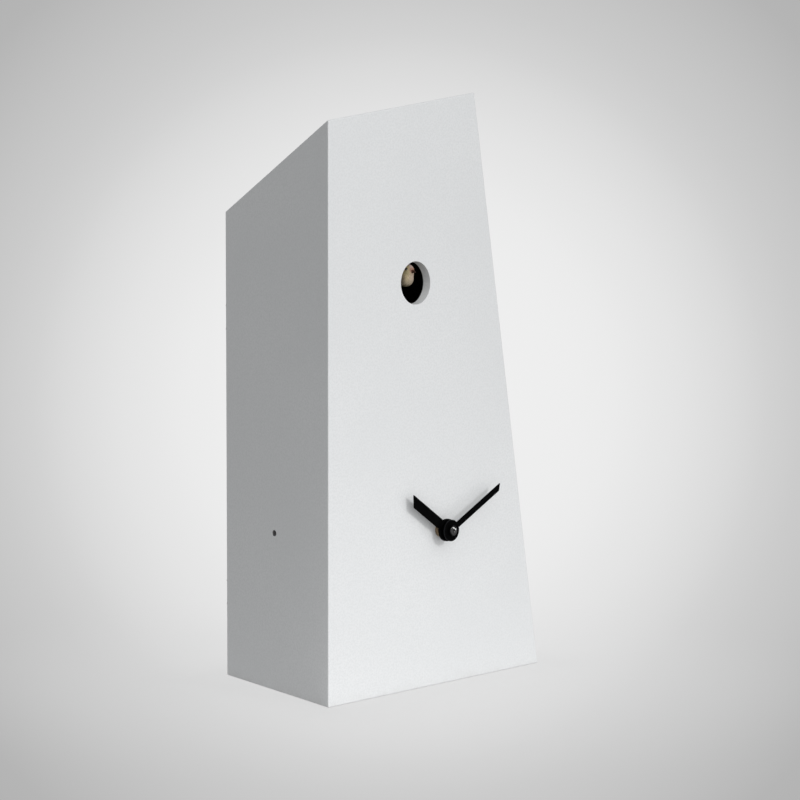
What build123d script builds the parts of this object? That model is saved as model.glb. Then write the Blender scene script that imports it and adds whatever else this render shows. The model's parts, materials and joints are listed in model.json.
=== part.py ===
from build123d import *
import os
from math import sin, cos, tan, acos, radians, pi, sqrt

os.makedirs("parts", exist_ok=True)

# ------------------------------------------------------------------
# Shelf cuckoo clock: a slanted white tower with a bird behind a round
# hole, two hands, a quartz movement, a cuckoo unit, a sound unit and a
# hinged rear door. Millimetres, +Z up, the front faces -Y.
# Positions below are given from the foot of the front face (x to the
# right, y to the back, z up); the case starts at LEFT_X.
# ------------------------------------------------------------------

# Case
LEFT_X = -0.75           # x of the front left edge
WIDTH = 183.1            # front, along the floor
DEPTH = 110.2            # front face to back face
LEFT_H = 327.8           # height of the front left edge
RIGHT_H = 347.9          # height of the front right edge
RIGHT_TOP_X = 120.7      # x of the front right edge at the top
SIDE_IN = 24.1           # how far each side runs in towards the back
BACK_LEFT_H = 277.4      # height of the back left edge
T = 6.0                  # panel thickness
EDGE_R = 0.7             # rounding of the outer edges
DOOR_GAP = 0.8           # gap around the rear door

# Front openings
HOLE_X, HOLE_Z, HOLE_R = 70.3, 236.7, 12.4
HUB_X, HUB_Z = 92.0, 92.0
SENSOR_Y, SENSOR_Z = 56.1, 92.1
SENSOR_R = 1.7

# Hands, as distances in front of the front face
HOUR_DEG, HOUR_W = -56.2, 6.0
MIN_DEG, MIN_UP, MIN_LOW = 62.8, 1.9, 1.6
CAP_FRONT = 11.1

# Rear hinge
HINGE_Y = DEPTH + 1.9
KNUCKLE_R = 1.6
HINGE_Z = (50.0, 215.0)

# Origin under the middle of the whole clock
OX = -LEFT_X - WIDTH / 2 + 0.067  # the rounded edges move the middle a little
OY = -((HINGE_Y + KNUCKLE_R) - CAP_FRONT) / 2


def P(x, y, z):
    """Corner coordinates to the clock's own frame."""
    return (x + OX, y + OY, z)


def face_plane(x, z, y):
    """Plane parallel to the front; local x is X, local y is Z, normal to the front."""
    return Plane(origin=P(x, y, z), x_dir=(1, 0, 0), z_dir=(0, -1, 0))


def side_plane(x, y=0.0, z=0.0):
    """Plane across the clock; local x is Y, local y is Z, normal is +X."""
    return Plane(origin=P(x, y, z), x_dir=(0, 1, 0), z_dir=(1, 0, 0))


def floor_plane(z):
    return Plane(origin=P(0, 0, z), x_dir=(1, 0, 0), z_dir=(0, 0, 1))


def save(block, name):
    block.part.label = name
    export_step(block.part, "parts/" + name + ".step")


# ------------------------------------------------------------------
# Case planes: each as an inward unit normal n and a distance d, n.p = d
# ------------------------------------------------------------------
A, B = Vector(LEFT_X, 0, 0), Vector(LEFT_X + WIDTH, 0, 0)
C, D = Vector(LEFT_X + WIDTH - SIDE_IN, DEPTH, 0), Vector(LEFT_X + SIDE_IN, DEPTH, 0)
A1, B1 = Vector(LEFT_X, 0, LEFT_H), Vector(RIGHT_TOP_X, 0, RIGHT_H)
D1 = Vector(LEFT_X + SIDE_IN, DEPTH, BACK_LEFT_H)
INSIDE = Vector(80, 55, 120)


def plane_eq(p, q, r):
    n = (q - p).cross(r - p).normalized()
    if n.dot(INSIDE - p) < 0:
        n = n * -1
    return (n, n.dot(p))


FRONT = plane_eq(A, B, A1)
LEFT = plane_eq(A, D, A1)
RIGHT = plane_eq(B, C, B1)
ROOF = plane_eq(A1, B1, D1)
BASE = plane_eq(A, B, D)
BACK = (Vector(0, -1, 0), -DEPTH)


def meet(a, b, c):
    """Point where three (plane, inset) pairs meet."""
    n1, n2, n3 = a[0][0], b[0][0], c[0][0]
    d1, d2, d3 = a[0][1] + a[1], b[0][1] + b[1], c[0][1] + c[1]
    v = n2.cross(n3) * d1 + n3.cross(n1) * d2 + n1.cross(n2) * d3
    return v * (1.0 / n1.dot(n2.cross(n3)))


def left_in(y):
    """x of the left panel's inner face."""
    return (LEFT[1] + T - LEFT[0].Y * y) / LEFT[0].X


def right_in(y, z):
    """x of the right panel's inner face."""
    return (RIGHT[1] + T - RIGHT[0].Y * y - RIGHT[0].Z * z) / RIGHT[0].X


def roof_in(x, y):
    """z of the roof panel's inner face."""
    return (ROOF[1] + T - ROOF[0].X * x - ROOF[0].Y * y) / ROOF[0].Z


def ring(face, around, d):
    """Corners of one panel face at inset d, with mitred neighbours."""
    pts = []
    for i in range(4):
        a, b = around[i], around[(i + 1) % 4]
        ia = -1.0 if a is BACK else d
        ib = -1.0 if b is BACK else d
        p = meet((face, d), (a, ia), (b, ib))
        pts.append(Vector(*P(p.X, p.Y, p.Z)))
    return pts


def ring_plane(pts):
    n = (pts[1] - pts[0]).cross(pts[2] - pts[0])
    return Plane(origin=pts[0], x_dir=pts[1] - pts[0], z_dir=n)


# Outer form of the whole case, edges rounded
with BuildPart() as case_form:
    for loop in ([A, B, C, D],
                 [A1, B1, meet((ROOF, 0), (RIGHT, 0), (BACK, 0)), D1]):
        loop = [Vector(*P(p.X, p.Y, p.Z)) for p in loop]
        pl = ring_plane(loop)
        with BuildSketch(pl):
            with BuildLine():
                Polyline(*[pl.to_local_coords(p) for p in loop], close=True)
            make_face()
    loft(ruled=True)
    fillet(case_form.edges(), EDGE_R)


# --- front panel ---------------------------------------------------
SCREW_HOLES = [(HOLE_X, 211.0), (HOLE_X, 185.0),
               (36.0, 150.0), (114.0, 150.0)]
with BuildPart() as front_panel:
    add(case_form.part)
    for d in (-1.0, T):
        loop = ring(FRONT, [LEFT, BASE, RIGHT, ROOF], d)
        pl = ring_plane(loop)
        with BuildSketch(pl):
            with BuildLine():
                Polyline(*[pl.to_local_coords(p) for p in loop], close=True)
            make_face()
    loft(ruled=True, mode=Mode.INTERSECT)
    with BuildSketch(face_plane(HOLE_X, HOLE_Z, T + 1)):
        Circle(HOLE_R)
    extrude(amount=T + 2, mode=Mode.SUBTRACT)
    with BuildSketch(face_plane(HUB_X, HUB_Z, T + 1)):
        Circle(3.6)
    extrude(amount=T + 2, mode=Mode.SUBTRACT)
    for sx, sz in SCREW_HOLES:
        with BuildSketch(face_plane(sx, sz, T)):
            Circle(1.3)
        extrude(amount=4.2, mode=Mode.SUBTRACT)
    rim = front_panel.edges().filter_by(GeomType.CIRCLE).filter_by(
        lambda e: abs(e.radius - HOLE_R) < 0.01).sort_by(Axis.Y)[0]
    fillet(rim, 0.35)
save(front_panel, "front_panel")

# --- left side panel -------------------------------------------------
sensor_out = Vector(*P(LEFT[1] / LEFT[0].X - LEFT[0].Y * SENSOR_Y / LEFT[0].X, SENSOR_Y, SENSOR_Z))
left_normal = LEFT[0] * -1
sensor_plane = Plane(origin=sensor_out, x_dir=(0, 0, 1), z_dir=left_normal)
LEAF_SCREW_X = 26.3
with BuildPart() as left_panel:
    add(case_form.part)
    for d in (-1.0, T):
        loop = ring(LEFT, [FRONT, BASE, BACK, ROOF], d)
        pl = ring_plane(loop)
        with BuildSketch(pl):
            with BuildLine():
                Polyline(*[pl.to_local_coords(p) for p in loop], close=True)
            make_face()
    loft(ruled=True, mode=Mode.INTERSECT)
    with BuildSketch(sensor_plane.offset(1)):
        Circle(SENSOR_R)
    extrude(amount=-(T + 2), mode=Mode.SUBTRACT)
    with BuildSketch(sensor_plane.offset(-3.0)):
        Circle(3.1)
    extrude(amount=-T, mode=Mode.SUBTRACT)
    for hz in HINGE_Z:
        for dz in (-7, 7):
            with BuildSketch(face_plane(LEAF_SCREW_X, hz + dz, DEPTH)):
                Circle(0.8)
            extrude(amount=5.4, mode=Mode.SUBTRACT)
save(left_panel, "left_side_panel")

# --- right side panel -------------------------------------------------
with BuildPart() as right_panel:
    add(case_form.part)
    for d in (-1.0, T):
        loop = ring(RIGHT, [FRONT, BASE, BACK, ROOF], d)
        pl = ring_plane(loop)
        with BuildSketch(pl):
            with BuildLine():
                Polyline(*[pl.to_local_coords(p) for p in loop], close=True)
            make_face()
    loft(ruled=True, mode=Mode.INTERSECT)
save(right_panel, "right_side_panel")

# --- roof panel ---------------------------------------------------------
with BuildPart() as roof_panel:
    add(case_form.part)
    for d in (-1.0, T):
        loop = ring(ROOF, [FRONT, RIGHT, BACK, LEFT], d)
        pl = ring_plane(loop)
        with BuildSketch(pl):
            with BuildLine():
                Polyline(*[pl.to_local_coords(p) for p in loop], close=True)
            make_face()
    loft(ruled=True, mode=Mode.INTERSECT)
save(roof_panel, "roof_panel")

# --- base panel ---------------------------------------------------------
with BuildPart() as base_panel:
    add(case_form.part)
    for d in (-1.0, T):
        loop = ring(BASE, [FRONT, RIGHT, BACK, LEFT], d)
        pl = ring_plane(loop)
        with BuildSketch(pl):
            with BuildLine():
                Polyline(*[pl.to_local_coords(p) for p in loop], close=True)
            make_face()
    loft(ruled=True, mode=Mode.INTERSECT)
save(base_panel, "base_panel")

# --- door stop battens, one behind each side panel --------------------
STOP_Y0, STOP_Y1, STOP_W = DEPTH - 16.3, DEPTH - 6.3, 10.0
CATCH_Z = 150.0
CATCH_X = right_in(STOP_Y1, CATCH_Z) - 6.6
MAGNET_R, MAGNET_T = 3.0, 3.0
with BuildPart() as battens:
    left_pts = [(left_in(STOP_Y0), STOP_Y0), (left_in(STOP_Y0) + STOP_W, STOP_Y0),
                (left_in(STOP_Y1) + STOP_W, STOP_Y1), (left_in(STOP_Y1), STOP_Y1)]
    with BuildSketch(floor_plane(14)):
        with BuildLine():
            Polyline(*left_pts, close=True)
        make_face()
    extrude(amount=236)
    for z in (14.0, 230.0):
        pts = [(right_in(STOP_Y0, z) - STOP_W, STOP_Y0), (right_in(STOP_Y0, z), STOP_Y0),
               (right_in(STOP_Y1, z), STOP_Y1), (right_in(STOP_Y1, z) - STOP_W, STOP_Y1)]
        with BuildSketch(floor_plane(z)):
            with BuildLine():
                Polyline(*pts, close=True)
            make_face()
    loft(ruled=True)
    with BuildSketch(face_plane(CATCH_X, CATCH_Z, STOP_Y1)):
        Circle(MAGNET_R + 0.05)
    extrude(amount=MAGNET_T, mode=Mode.SUBTRACT)
save(battens, "door_stop_battens")

with BuildPart() as magnet:
    with BuildSketch(face_plane(CATCH_X, CATCH_Z, STOP_Y1)):
        Circle(MAGNET_R)
    extrude(amount=MAGNET_T)
    chamfer(magnet.edges(), 0.2)
save(magnet, "catch_magnet")

# --- rear door, inset between the sides ---------------------------------
DOOR_L = left_in(DEPTH) + DOOR_GAP
SPK_X, SPK_Z = 64.0, 150.0
DOOR_SCREW_X = 38.5
STRIKE_R, STRIKE_T = 3.6, 1.0
FINGER_X, FINGER_R = 104.0, 8.5


def door_right(z):
    return right_in(DEPTH, z) - DOOR_GAP


def door_top(x):
    return roof_in(x, DEPTH) - DOOR_GAP


# right end of the sloping top: where the roof line meets the right side line
rx = DOOR_L + 60
for _ in range(40):
    rx = door_right(door_top(rx))
DOOR_B = T + DOOR_GAP
with BuildPart() as rear_door:
    with BuildSketch(face_plane(0, 0, DEPTH)):
        with BuildLine():
            Polyline((DOOR_L, DOOR_B), (door_right(DOOR_B), DOOR_B),
                     (rx, door_top(rx)), (DOOR_L, door_top(DOOR_L)), close=True)
        make_face()
    extrude(amount=T)
    chamfer(rear_door.faces().sort_by(Axis.Y)[-1].edges(), 0.4)
    # sound slots behind the speaker
    with BuildSketch(face_plane(SPK_X, SPK_Z, DEPTH + 1)):
        with GridLocations(0, 7, 1, 5):
            SlotOverall(34, 3)
    extrude(amount=T + 2, mode=Mode.SUBTRACT)
    # finger hole
    with BuildSketch(face_plane(FINGER_X, CATCH_Z, DEPTH + 1)):
        Circle(FINGER_R)
    extrude(amount=T + 2, mode=Mode.SUBTRACT)
    # recess for the strike on the inner face
    with BuildSketch(face_plane(CATCH_X, CATCH_Z, DEPTH - T + STRIKE_T)):
        Circle(STRIKE_R + 0.05)
    extrude(amount=STRIKE_T + 1, mode=Mode.SUBTRACT)
    for hz in HINGE_Z:
        for dz in (-7, 7):
            with BuildSketch(face_plane(DOOR_SCREW_X, hz + dz, DEPTH)):
                Circle(0.8)
            extrude(amount=5.4, mode=Mode.SUBTRACT)
save(rear_door, "rear_door")

with BuildPart() as strike:
    with BuildSketch(face_plane(CATCH_X, CATCH_Z, DEPTH - T + STRIKE_T)):
        Circle(STRIKE_R)
    extrude(amount=STRIKE_T)
save(strike, "catch_strike")

# --- two butt hinges on the back left edge ---------------------------------
HINGE_X = 29.9
LEAF_T, LEAF_H, KN_H = 0.8, 20.0, 8.0
PIN_R = 0.8


def knuckle(z0, z1, r):
    with BuildSketch(Plane(origin=P(HINGE_X, HINGE_Y, z0))) as tube:
        Circle(r)
    extrude(tube.sketch, amount=z1 - z0)


with BuildPart() as case_leaves:
    for hz in HINGE_Z:
        with Locations(P(26.2, DEPTH + LEAF_T / 2, hz)):
            Box(3.4, LEAF_T, LEAF_H)
        with Locations(P((27.8 + HINGE_X) / 2, DEPTH + LEAF_T / 2, hz)):
            Box(HINGE_X - 27.8, LEAF_T, KN_H)
        knuckle(hz - KN_H / 2, hz + KN_H / 2, KNUCKLE_R)
        with BuildSketch(Plane(origin=P(HINGE_X, HINGE_Y, hz - 12))):
            Circle(PIN_R + 0.05)
        extrude(amount=24, mode=Mode.SUBTRACT)
        for dz in (-7, 7):
            with BuildSketch(face_plane(LEAF_SCREW_X, hz + dz, DEPTH + 2)):
                Circle(0.8)
            extrude(amount=3, mode=Mode.SUBTRACT)
save(case_leaves, "hinge_case_leaves")

with BuildPart() as door_leaves:
    for hz in HINGE_Z:
        with Locations(P((31.9 + 43.0) / 2, DEPTH + LEAF_T / 2, hz)):
            Box(43.0 - 31.9, LEAF_T, LEAF_H)
        for s in (-1, 1):
            zc = hz + s * (KN_H / 2 + 0.2 + LEAF_H / 2) / 2
            hh = LEAF_H / 2 - KN_H / 2 - 0.2
            with Locations(P((HINGE_X + 31.9) / 2, DEPTH + LEAF_T / 2, zc)):
                Box(31.9 - HINGE_X, LEAF_T, hh)
            knuckle(zc - hh / 2, zc + hh / 2, KNUCKLE_R)
        with BuildSketch(Plane(origin=P(HINGE_X, HINGE_Y, hz - 12))):
            Circle(PIN_R + 0.05)
        extrude(amount=24, mode=Mode.SUBTRACT)
        for dz in (-7, 7):
            with BuildSketch(face_plane(DOOR_SCREW_X, hz + dz, DEPTH + 2)):
                Circle(0.8)
            extrude(amount=3, mode=Mode.SUBTRACT)
save(door_leaves, "hinge_door_leaves")

with BuildPart() as hinge_pins:
    for hz in HINGE_Z:
        with BuildSketch(Plane(origin=P(HINGE_X, HINGE_Y, hz - 10.4))):
            Circle(PIN_R)
        extrude(amount=20.8)
    chamfer(hinge_pins.edges(), 0.15)
save(hinge_pins, "hinge_pins")


def pan_screw(x, y, z, head_r, head_h, shank_r, shank_l, slot=0.5):
    """Pan head screw driven towards the front, head on the plane at y."""
    with BuildSketch(face_plane(x, z, y + head_h)) as head:
        Circle(head_r)
    extrude(head.sketch, amount=head_h)
    with BuildSketch(face_plane(x, z, y)) as shank:
        Circle(shank_r)
    extrude(shank.sketch, amount=shank_l)
    with BuildSketch(face_plane(x, z, y + head_h)) as cross:
        Rectangle(head_r * 1.3, slot)
        Rectangle(slot, head_r * 1.3)
    extrude(cross.sketch, amount=head_h * 0.55, mode=Mode.SUBTRACT)


with BuildPart() as case_leaf_screws:
    for hz in HINGE_Z:
        for dz in (-7, 7):
            pan_screw(LEAF_SCREW_X, DEPTH + LEAF_T, hz + dz, 1.5, 0.7, 0.75, 5.8, 0.35)
save(case_leaf_screws, "hinge_case_screws")

with BuildPart() as door_leaf_screws:
    for hz in HINGE_Z:
        for dz in (-7, 7):
            pan_screw(DOOR_SCREW_X, DEPTH + LEAF_T, hz + dz, 1.5, 0.7, 0.75, 5.8, 0.35)
save(door_leaf_screws, "hinge_door_screws")

# ------------------------------------------------------------------
# Gear teeth
# ------------------------------------------------------------------
PA = radians(20)
BACKLASH = 0.05          # thinning of each tooth at the pitch circle


def involute(a):
    return tan(a) - a


def gear_points(teeth, module, add_f, ded_f, phase, first=0, count=None, n=4):
    """Outline of a spur gear, a tooth centred at the angle phase (degrees)."""
    r = module * teeth / 2
    rb, ra, rf = r * cos(PA), r + add_f * module, r - ded_f * module
    half = (pi * module / 2 - BACKLASH) / (2 * r)
    rs = max(rb, rf)

    def th(rad):
        return half + involute(PA) - involute(acos(min(1.0, rb / rad)))

    pts = []
    for k in range(first, first + (count or teeth)):
        c = radians(phase) + 2 * pi * k / teeth
        radii = [rs + (ra - rs) * i / (n - 1) for i in range(n)]
        flank = ([(rf, th(rs))] if rf < rs - 1e-6 else []) + [(q, th(q)) for q in radii]
        pts += [(q * cos(c - t), q * sin(c - t)) for q, t in flank]
        pts += [(q * cos(c + t), q * sin(c + t)) for q, t in reversed(flank)]
    return pts


WHEEL = (0.6, 1.25)      # addendum and dedendum of the wheels, in modules
PINION = (1.0, 1.0)      # and of the pinions

# ------------------------------------------------------------------
# Clock movement on the hub axis
# ------------------------------------------------------------------
MOV, MOV_WALL = 56.0, 1.5
MOV_Y0, MOV_Y1, MOV_Y2 = 7.0, 15.0, 24.0
POST = 24.0
MW_X, MW_Z = HUB_X + 12.0, HUB_Z                                   # minute wheel
SET_X, SET_Z = MW_X + 12.0 * cos(radians(-60)), MW_Z + 12.0 * sin(radians(-60))
DRV_X, DRV_Z = HUB_X + 12.0 * cos(radians(135)), HUB_Z + 12.0 * sin(radians(135))
POSTS = [(sx * POST, sz * POST) for sx in (-1, 1) for sz in (-1, 1)]

with BuildPart() as movement_front:
    with BuildSketch(face_plane(HUB_X, HUB_Z, MOV_Y1)):
        RectangleRounded(MOV, MOV, 3)
    extrude(amount=MOV_Y1 - MOV_Y0)
    with BuildSketch(face_plane(HUB_X, HUB_Z, MOV_Y1)):
        RectangleRounded(MOV - 2 * MOV_WALL, MOV - 2 * MOV_WALL, 2)
    extrude(amount=MOV_Y1 - MOV_Y0 - MOV_WALL, mode=Mode.SUBTRACT)
    with BuildSketch(face_plane(HUB_X, HUB_Z, MOV_Y1)):
        with Locations(*POSTS):
            Circle(2.6)
    extrude(amount=MOV_Y1 - MOV_Y0 - 0.5)
    with BuildSketch(face_plane(HUB_X, HUB_Z, MOV_Y1)):
        with Locations(*POSTS):
            Circle(0.95)
    extrude(amount=5, mode=Mode.SUBTRACT)
    with BuildSketch(face_plane(SET_X, SET_Z, 11.0)):
        Circle(2.75)
    extrude(amount=3.0)
    with BuildSketch(face_plane(SET_X, SET_Z, 12.0)):
        Circle(1.55)
    extrude(amount=3.5, mode=Mode.SUBTRACT)
    with BuildSketch(face_plane(MW_X, MW_Z, 10.0)):
        Circle(0.77)
    extrude(amount=2.8, mode=Mode.SUBTRACT)
    with BuildSketch(face_plane(HUB_X, HUB_Z, 10.0)):
        Circle(3.45)
    extrude(amount=5, mode=Mode.SUBTRACT)
save(movement_front, "movement_front_case")

with BuildPart() as movement_rear:
    with BuildSketch(face_plane(HUB_X, HUB_Z, MOV_Y2)):
        RectangleRounded(MOV, MOV, 3)
    extrude(amount=MOV_Y2 - MOV_Y1)
    fillet(movement_rear.faces().sort_by(Axis.Y)[-1].edges(), 1.0)
    with BuildSketch(face_plane(HUB_X, HUB_Z, MOV_Y2 - MOV_WALL)):
        RectangleRounded(MOV - 2 * MOV_WALL, MOV - 2 * MOV_WALL, 2)
    extrude(amount=MOV_Y2 - MOV_Y1, mode=Mode.SUBTRACT)
    with BuildSketch(face_plane(HUB_X, HUB_Z, MOV_Y2 - 0.5)):
        with Locations(*POSTS):
            Circle(2.6)
    extrude(amount=MOV_Y2 - MOV_Y1 - 0.5)
    with BuildSketch(face_plane(HUB_X, HUB_Z, MOV_Y2 + 1)):
        with Locations(*POSTS):
            Circle(1.1)
    extrude(amount=MOV_Y2 - MOV_Y1 + 2, mode=Mode.SUBTRACT)
    with BuildSketch(face_plane(HUB_X, HUB_Z, MOV_Y2 - 0.5)):
        Circle(2.5)
    extrude(amount=2.9)
    with BuildSketch(face_plane(HUB_X, HUB_Z, MOV_Y2 - 1.0)):
        Circle(1.05)
    extrude(amount=4, mode=Mode.SUBTRACT)
    with BuildSketch(face_plane(SET_X, SET_Z, MOV_Y2 + 1)):
        Circle(1.55)
    extrude(amount=5, mode=Mode.SUBTRACT)
save(movement_rear, "movement_rear_case")

with BuildPart() as gasket:
    with BuildSketch(face_plane(HUB_X, HUB_Z, MOV_Y0)):
        Circle(12)
        Circle(3.7, mode=Mode.SUBTRACT)
    extrude(amount=MOV_Y0 - T)
save(gasket, "rubber_gasket")

# Threaded bushing: flange inside the movement, thread through the panel
BUSH_R, BUSH_BORE, BUSH_END = 3.4, 2.6, 4.2
with BuildPart() as bushing:
    with BuildSketch(side_plane(HUB_X, 0, HUB_Z)):
        with BuildLine():
            prof = [(9.7, BUSH_BORE), (9.7, 7.0), (8.5, 7.0), (8.5, BUSH_R), (5.6, BUSH_R)]
            y = 5.6
            while y > -BUSH_END + 0.8:
                prof += [(y - 0.375, BUSH_R - 0.28), (y - 0.75, BUSH_R)]
                y -= 0.75
            prof += [(-BUSH_END + 0.2, BUSH_R - 0.1), (-BUSH_END, BUSH_R - 0.3), (-BUSH_END, BUSH_BORE)]
            Polyline(*prof, close=True)
        make_face()
    revolve(axis=Axis(P(HUB_X, 0, HUB_Z), (0, 1, 0)))
save(bushing, "threaded_bushing")

with BuildPart() as washer:
    with BuildSketch(face_plane(HUB_X, HUB_Z, 0)):
        Circle(4.4)
        Circle(3.5, mode=Mode.SUBTRACT)
    extrude(amount=0.3)
save(washer, "bushing_washer")

with BuildPart() as nut:
    with BuildSketch(face_plane(HUB_X, HUB_Z, -0.3)):
        RegularPolygon(4.5, 6, rotation=0)
    extrude(amount=1.25)
    with BuildSketch(side_plane(HUB_X, 0, HUB_Z)):
        with BuildLine():
            Polyline((-0.3, 0), (-0.3, 4.55), (-1.3, 4.55), (-1.55, 4.1), (-1.55, 0), close=True)
        make_face()
    revolve(axis=Axis(P(HUB_X, 0, HUB_Z), (0, 1, 0)), mode=Mode.INTERSECT)
    with BuildSketch(face_plane(HUB_X, HUB_Z, 1)):
        Circle(3.44)
    extrude(amount=6, mode=Mode.SUBTRACT)
save(nut, "bushing_nut")

# Hour wheel on its pipe
PIPE_R, PIPE_BORE, PIPE_END = 2.55, 1.65, 6.4
with BuildPart() as hour_wheel:
    with BuildSketch(face_plane(HUB_X, HUB_Z, 11.4)):
        with BuildLine():
            Polyline(*gear_points(40, 0.48, *WHEEL, 4.5), close=True)
        make_face()
    extrude(amount=1.2)
    with BuildSketch(face_plane(HUB_X, HUB_Z, 10.8)):
        Circle(PIPE_R)
    extrude(amount=10.8 + PIPE_END)
    with BuildSketch(face_plane(HUB_X, HUB_Z, 12.4)):
        Circle(PIPE_BORE)
    extrude(amount=30, mode=Mode.SUBTRACT)
save(hour_wheel, "hour_wheel")

# Minute arbor with its pinion
ARB_R, ARB_END = 1.6, 10.5
with BuildPart() as minute_arbor:
    with BuildSketch(face_plane(HUB_X, HUB_Z, 20.0)):
        Circle(ARB_R)
    extrude(amount=20.0 + ARB_END)
    with BuildSketch(face_plane(HUB_X, HUB_Z, 22.8)):
        Circle(1.0)
    extrude(amount=3.0)
    with BuildSketch(face_plane(HUB_X, HUB_Z, 14.6)):
        with BuildLine():
            Polyline(*gear_points(12, 0.5, *PINION, 0.0), close=True)
        make_face()
    extrude(amount=2.0)
save(minute_arbor, "minute_arbor")

with BuildPart() as centre_wheel:
    with BuildSketch(face_plane(HUB_X, HUB_Z, 17.2)):
        with BuildLine():
            Polyline(*gear_points(48, 0.4, *WHEEL, 135.0), close=True)
        make_face()
        Circle(ARB_R + 0.02, mode=Mode.SUBTRACT)
        with PolarLocations(5.6, 5):
            Circle(1.9, mode=Mode.SUBTRACT)
    extrude(amount=1.2)
save(centre_wheel, "centre_wheel")

# Minute wheel with its pinion, on a post
with BuildPart() as minute_wheel:
    with BuildSketch(face_plane(MW_X, MW_Z, 13.8)):
        with BuildLine():
            Polyline(*gear_points(36, 0.5, *WHEEL, 5.0), close=True)
        make_face()
    extrude(amount=1.2)
    with BuildSketch(face_plane(MW_X, MW_Z, 12.6)):
        with BuildLine():
            Polyline(*gear_points(10, 0.48, *PINION, 180.0), close=True)
        make_face()
    extrude(amount=2.4)
    with BuildSketch(face_plane(MW_X, MW_Z, 16)):
        Circle(0.8)
    extrude(amount=8, mode=Mode.SUBTRACT)
save(minute_wheel, "minute_wheel")

with BuildPart() as minute_post:
    with BuildSketch(face_plane(MW_X, MW_Z, 14.6)):
        Circle(0.75)
    extrude(amount=7.3)
save(minute_post, "minute_wheel_post")

# Setting knob at the back, with its shaft and pinion
with BuildPart() as setting_knob:
    with BuildSketch(face_plane(SET_X, SET_Z, 26.0)):
        Circle(1.5)
    extrude(amount=17.2)
    with BuildSketch(face_plane(SET_X, SET_Z, 14.6)):
        with BuildLine():
            Polyline(*gear_points(12, 0.5, *PINION, 120.0), close=True)
        make_face()
    extrude(amount=2.0)
    with BuildSketch(face_plane(SET_X, SET_Z, 30.0)):
        Circle(7.0)
        with PolarLocations(7.3, 20):
            Circle(0.7, mode=Mode.SUBTRACT)
    extrude(amount=5.2)
save(setting_knob, "setting_knob")

# Drive pinion on the step motor's shaft
with BuildPart() as drive_pinion:
    with BuildSketch(face_plane(DRV_X, DRV_Z, 17.6)):
        with BuildLine():
            Polyline(*gear_points(12, 0.4, *PINION, -30.0), close=True)
        make_face()
    extrude(amount=2.0)
    with BuildSketch(face_plane(DRV_X, DRV_Z, 20.4)):
        Circle(0.75)
    extrude(amount=3.0)
save(drive_pinion, "drive_pinion")

with BuildPart() as step_motor:
    with BuildSketch(face_plane(82.0, 104.0, 22.5)):
        RectangleRounded(20, 16, 2)
    extrude(amount=4.3)
    with BuildSketch(face_plane(DRV_X, DRV_Z, 20.8)):
        Circle(0.8)
    extrude(amount=4, mode=Mode.SUBTRACT)
save(step_motor, "step_motor")

with BuildPart() as movement_board:
    with BuildSketch(face_plane(88.5, 73.5, 22.5)):
        RectangleRounded(33, 13, 0.8)
    extrude(amount=1.2)
    with BuildSketch(face_plane(95.0, 75.0, 21.3)):
        Rectangle(5, 4)
    extrude(amount=1.2)
save(movement_board, "movement_board")

with BuildPart() as crystal:
    with BuildSketch(side_plane(75.0, 19.75, 71.0)):
        Circle(1.5)
    extrude(amount=8)
    fillet(crystal.edges(), 0.3)
save(crystal, "quartz_crystal")


# ------------------------------------------------------------------
# Hands
# ------------------------------------------------------------------
def blade(deg, a_up, a_low, l_up, l_low):
    """Hand blade: a straight bar with a slanted tip; up is the 12 o'clock side."""
    u = (sin(radians(deg)), cos(radians(deg)))
    s = 1 if deg > 0 else -1
    v = (-s * u[1], s * u[0])                      # towards 12 o'clock
    return [(u[0] * a + v[0] * b, u[1] * a + v[1] * b) for a, b in (
        (0, -a_low), (l_low, -a_low), (l_up, a_up), (0, a_up))]


with BuildPart() as hour_hand:
    with BuildSketch(face_plane(HUB_X, HUB_Z, -4.35)):
        Circle(6.6)
    extrude(amount=1.85)
    fillet(hour_hand.edges(), 0.18)
    with BuildSketch(face_plane(HUB_X, HUB_Z, -5.2)):
        with BuildLine():
            Polyline(*blade(HOUR_DEG, HOUR_W / 2, HOUR_W / 2, 36.8, 32.4), close=True)
        make_face()
    extrude(amount=0.8)
    with BuildSketch(face_plane(HUB_X, HUB_Z, -3)):
        Circle(PIPE_R + 0.02)
    extrude(amount=6, mode=Mode.SUBTRACT)
save(hour_hand, "hour_hand")

with BuildPart() as minute_hand:
    with BuildSketch(face_plane(HUB_X, HUB_Z, -8.2)):
        Circle(6.3)
    extrude(amount=1.1)
    fillet(minute_hand.edges(), 0.18)
    with BuildSketch(face_plane(HUB_X, HUB_Z, -8.4)):
        with BuildLine():
            Polyline(*blade(MIN_DEG, MIN_UP, MIN_LOW, 49.3, 46.5), close=True)
        make_face()
    extrude(amount=0.7)
    with BuildSketch(face_plane(HUB_X, HUB_Z, -6.7)):
        Circle(3.2)
    extrude(amount=1.6)
    with BuildSketch(face_plane(HUB_X, HUB_Z, -5)):
        Circle(ARB_R + 0.02)
    extrude(amount=8, mode=Mode.SUBTRACT)
save(minute_hand, "minute_hand")

with BuildPart() as hand_cap:
    with BuildSketch(side_plane(HUB_X, 0, HUB_Z)):
        with BuildLine():
            Polyline((-9.3, ARB_R + 0.02), (-9.3, 3.0), (-10.5, 3.0), (-10.95, 2.75), (-11.1, 2.3),
                     (-11.1, 0.75), (-10.85, 0.45), (-10.8, 0.0), (-10.6, 0.0), (-10.6, ARB_R + 0.02),
                     close=True)
        make_face()
    revolve(axis=Axis(P(HUB_X, 0, HUB_Z), (0, 1, 0)))
save(hand_cap, "hand_cap")

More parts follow.
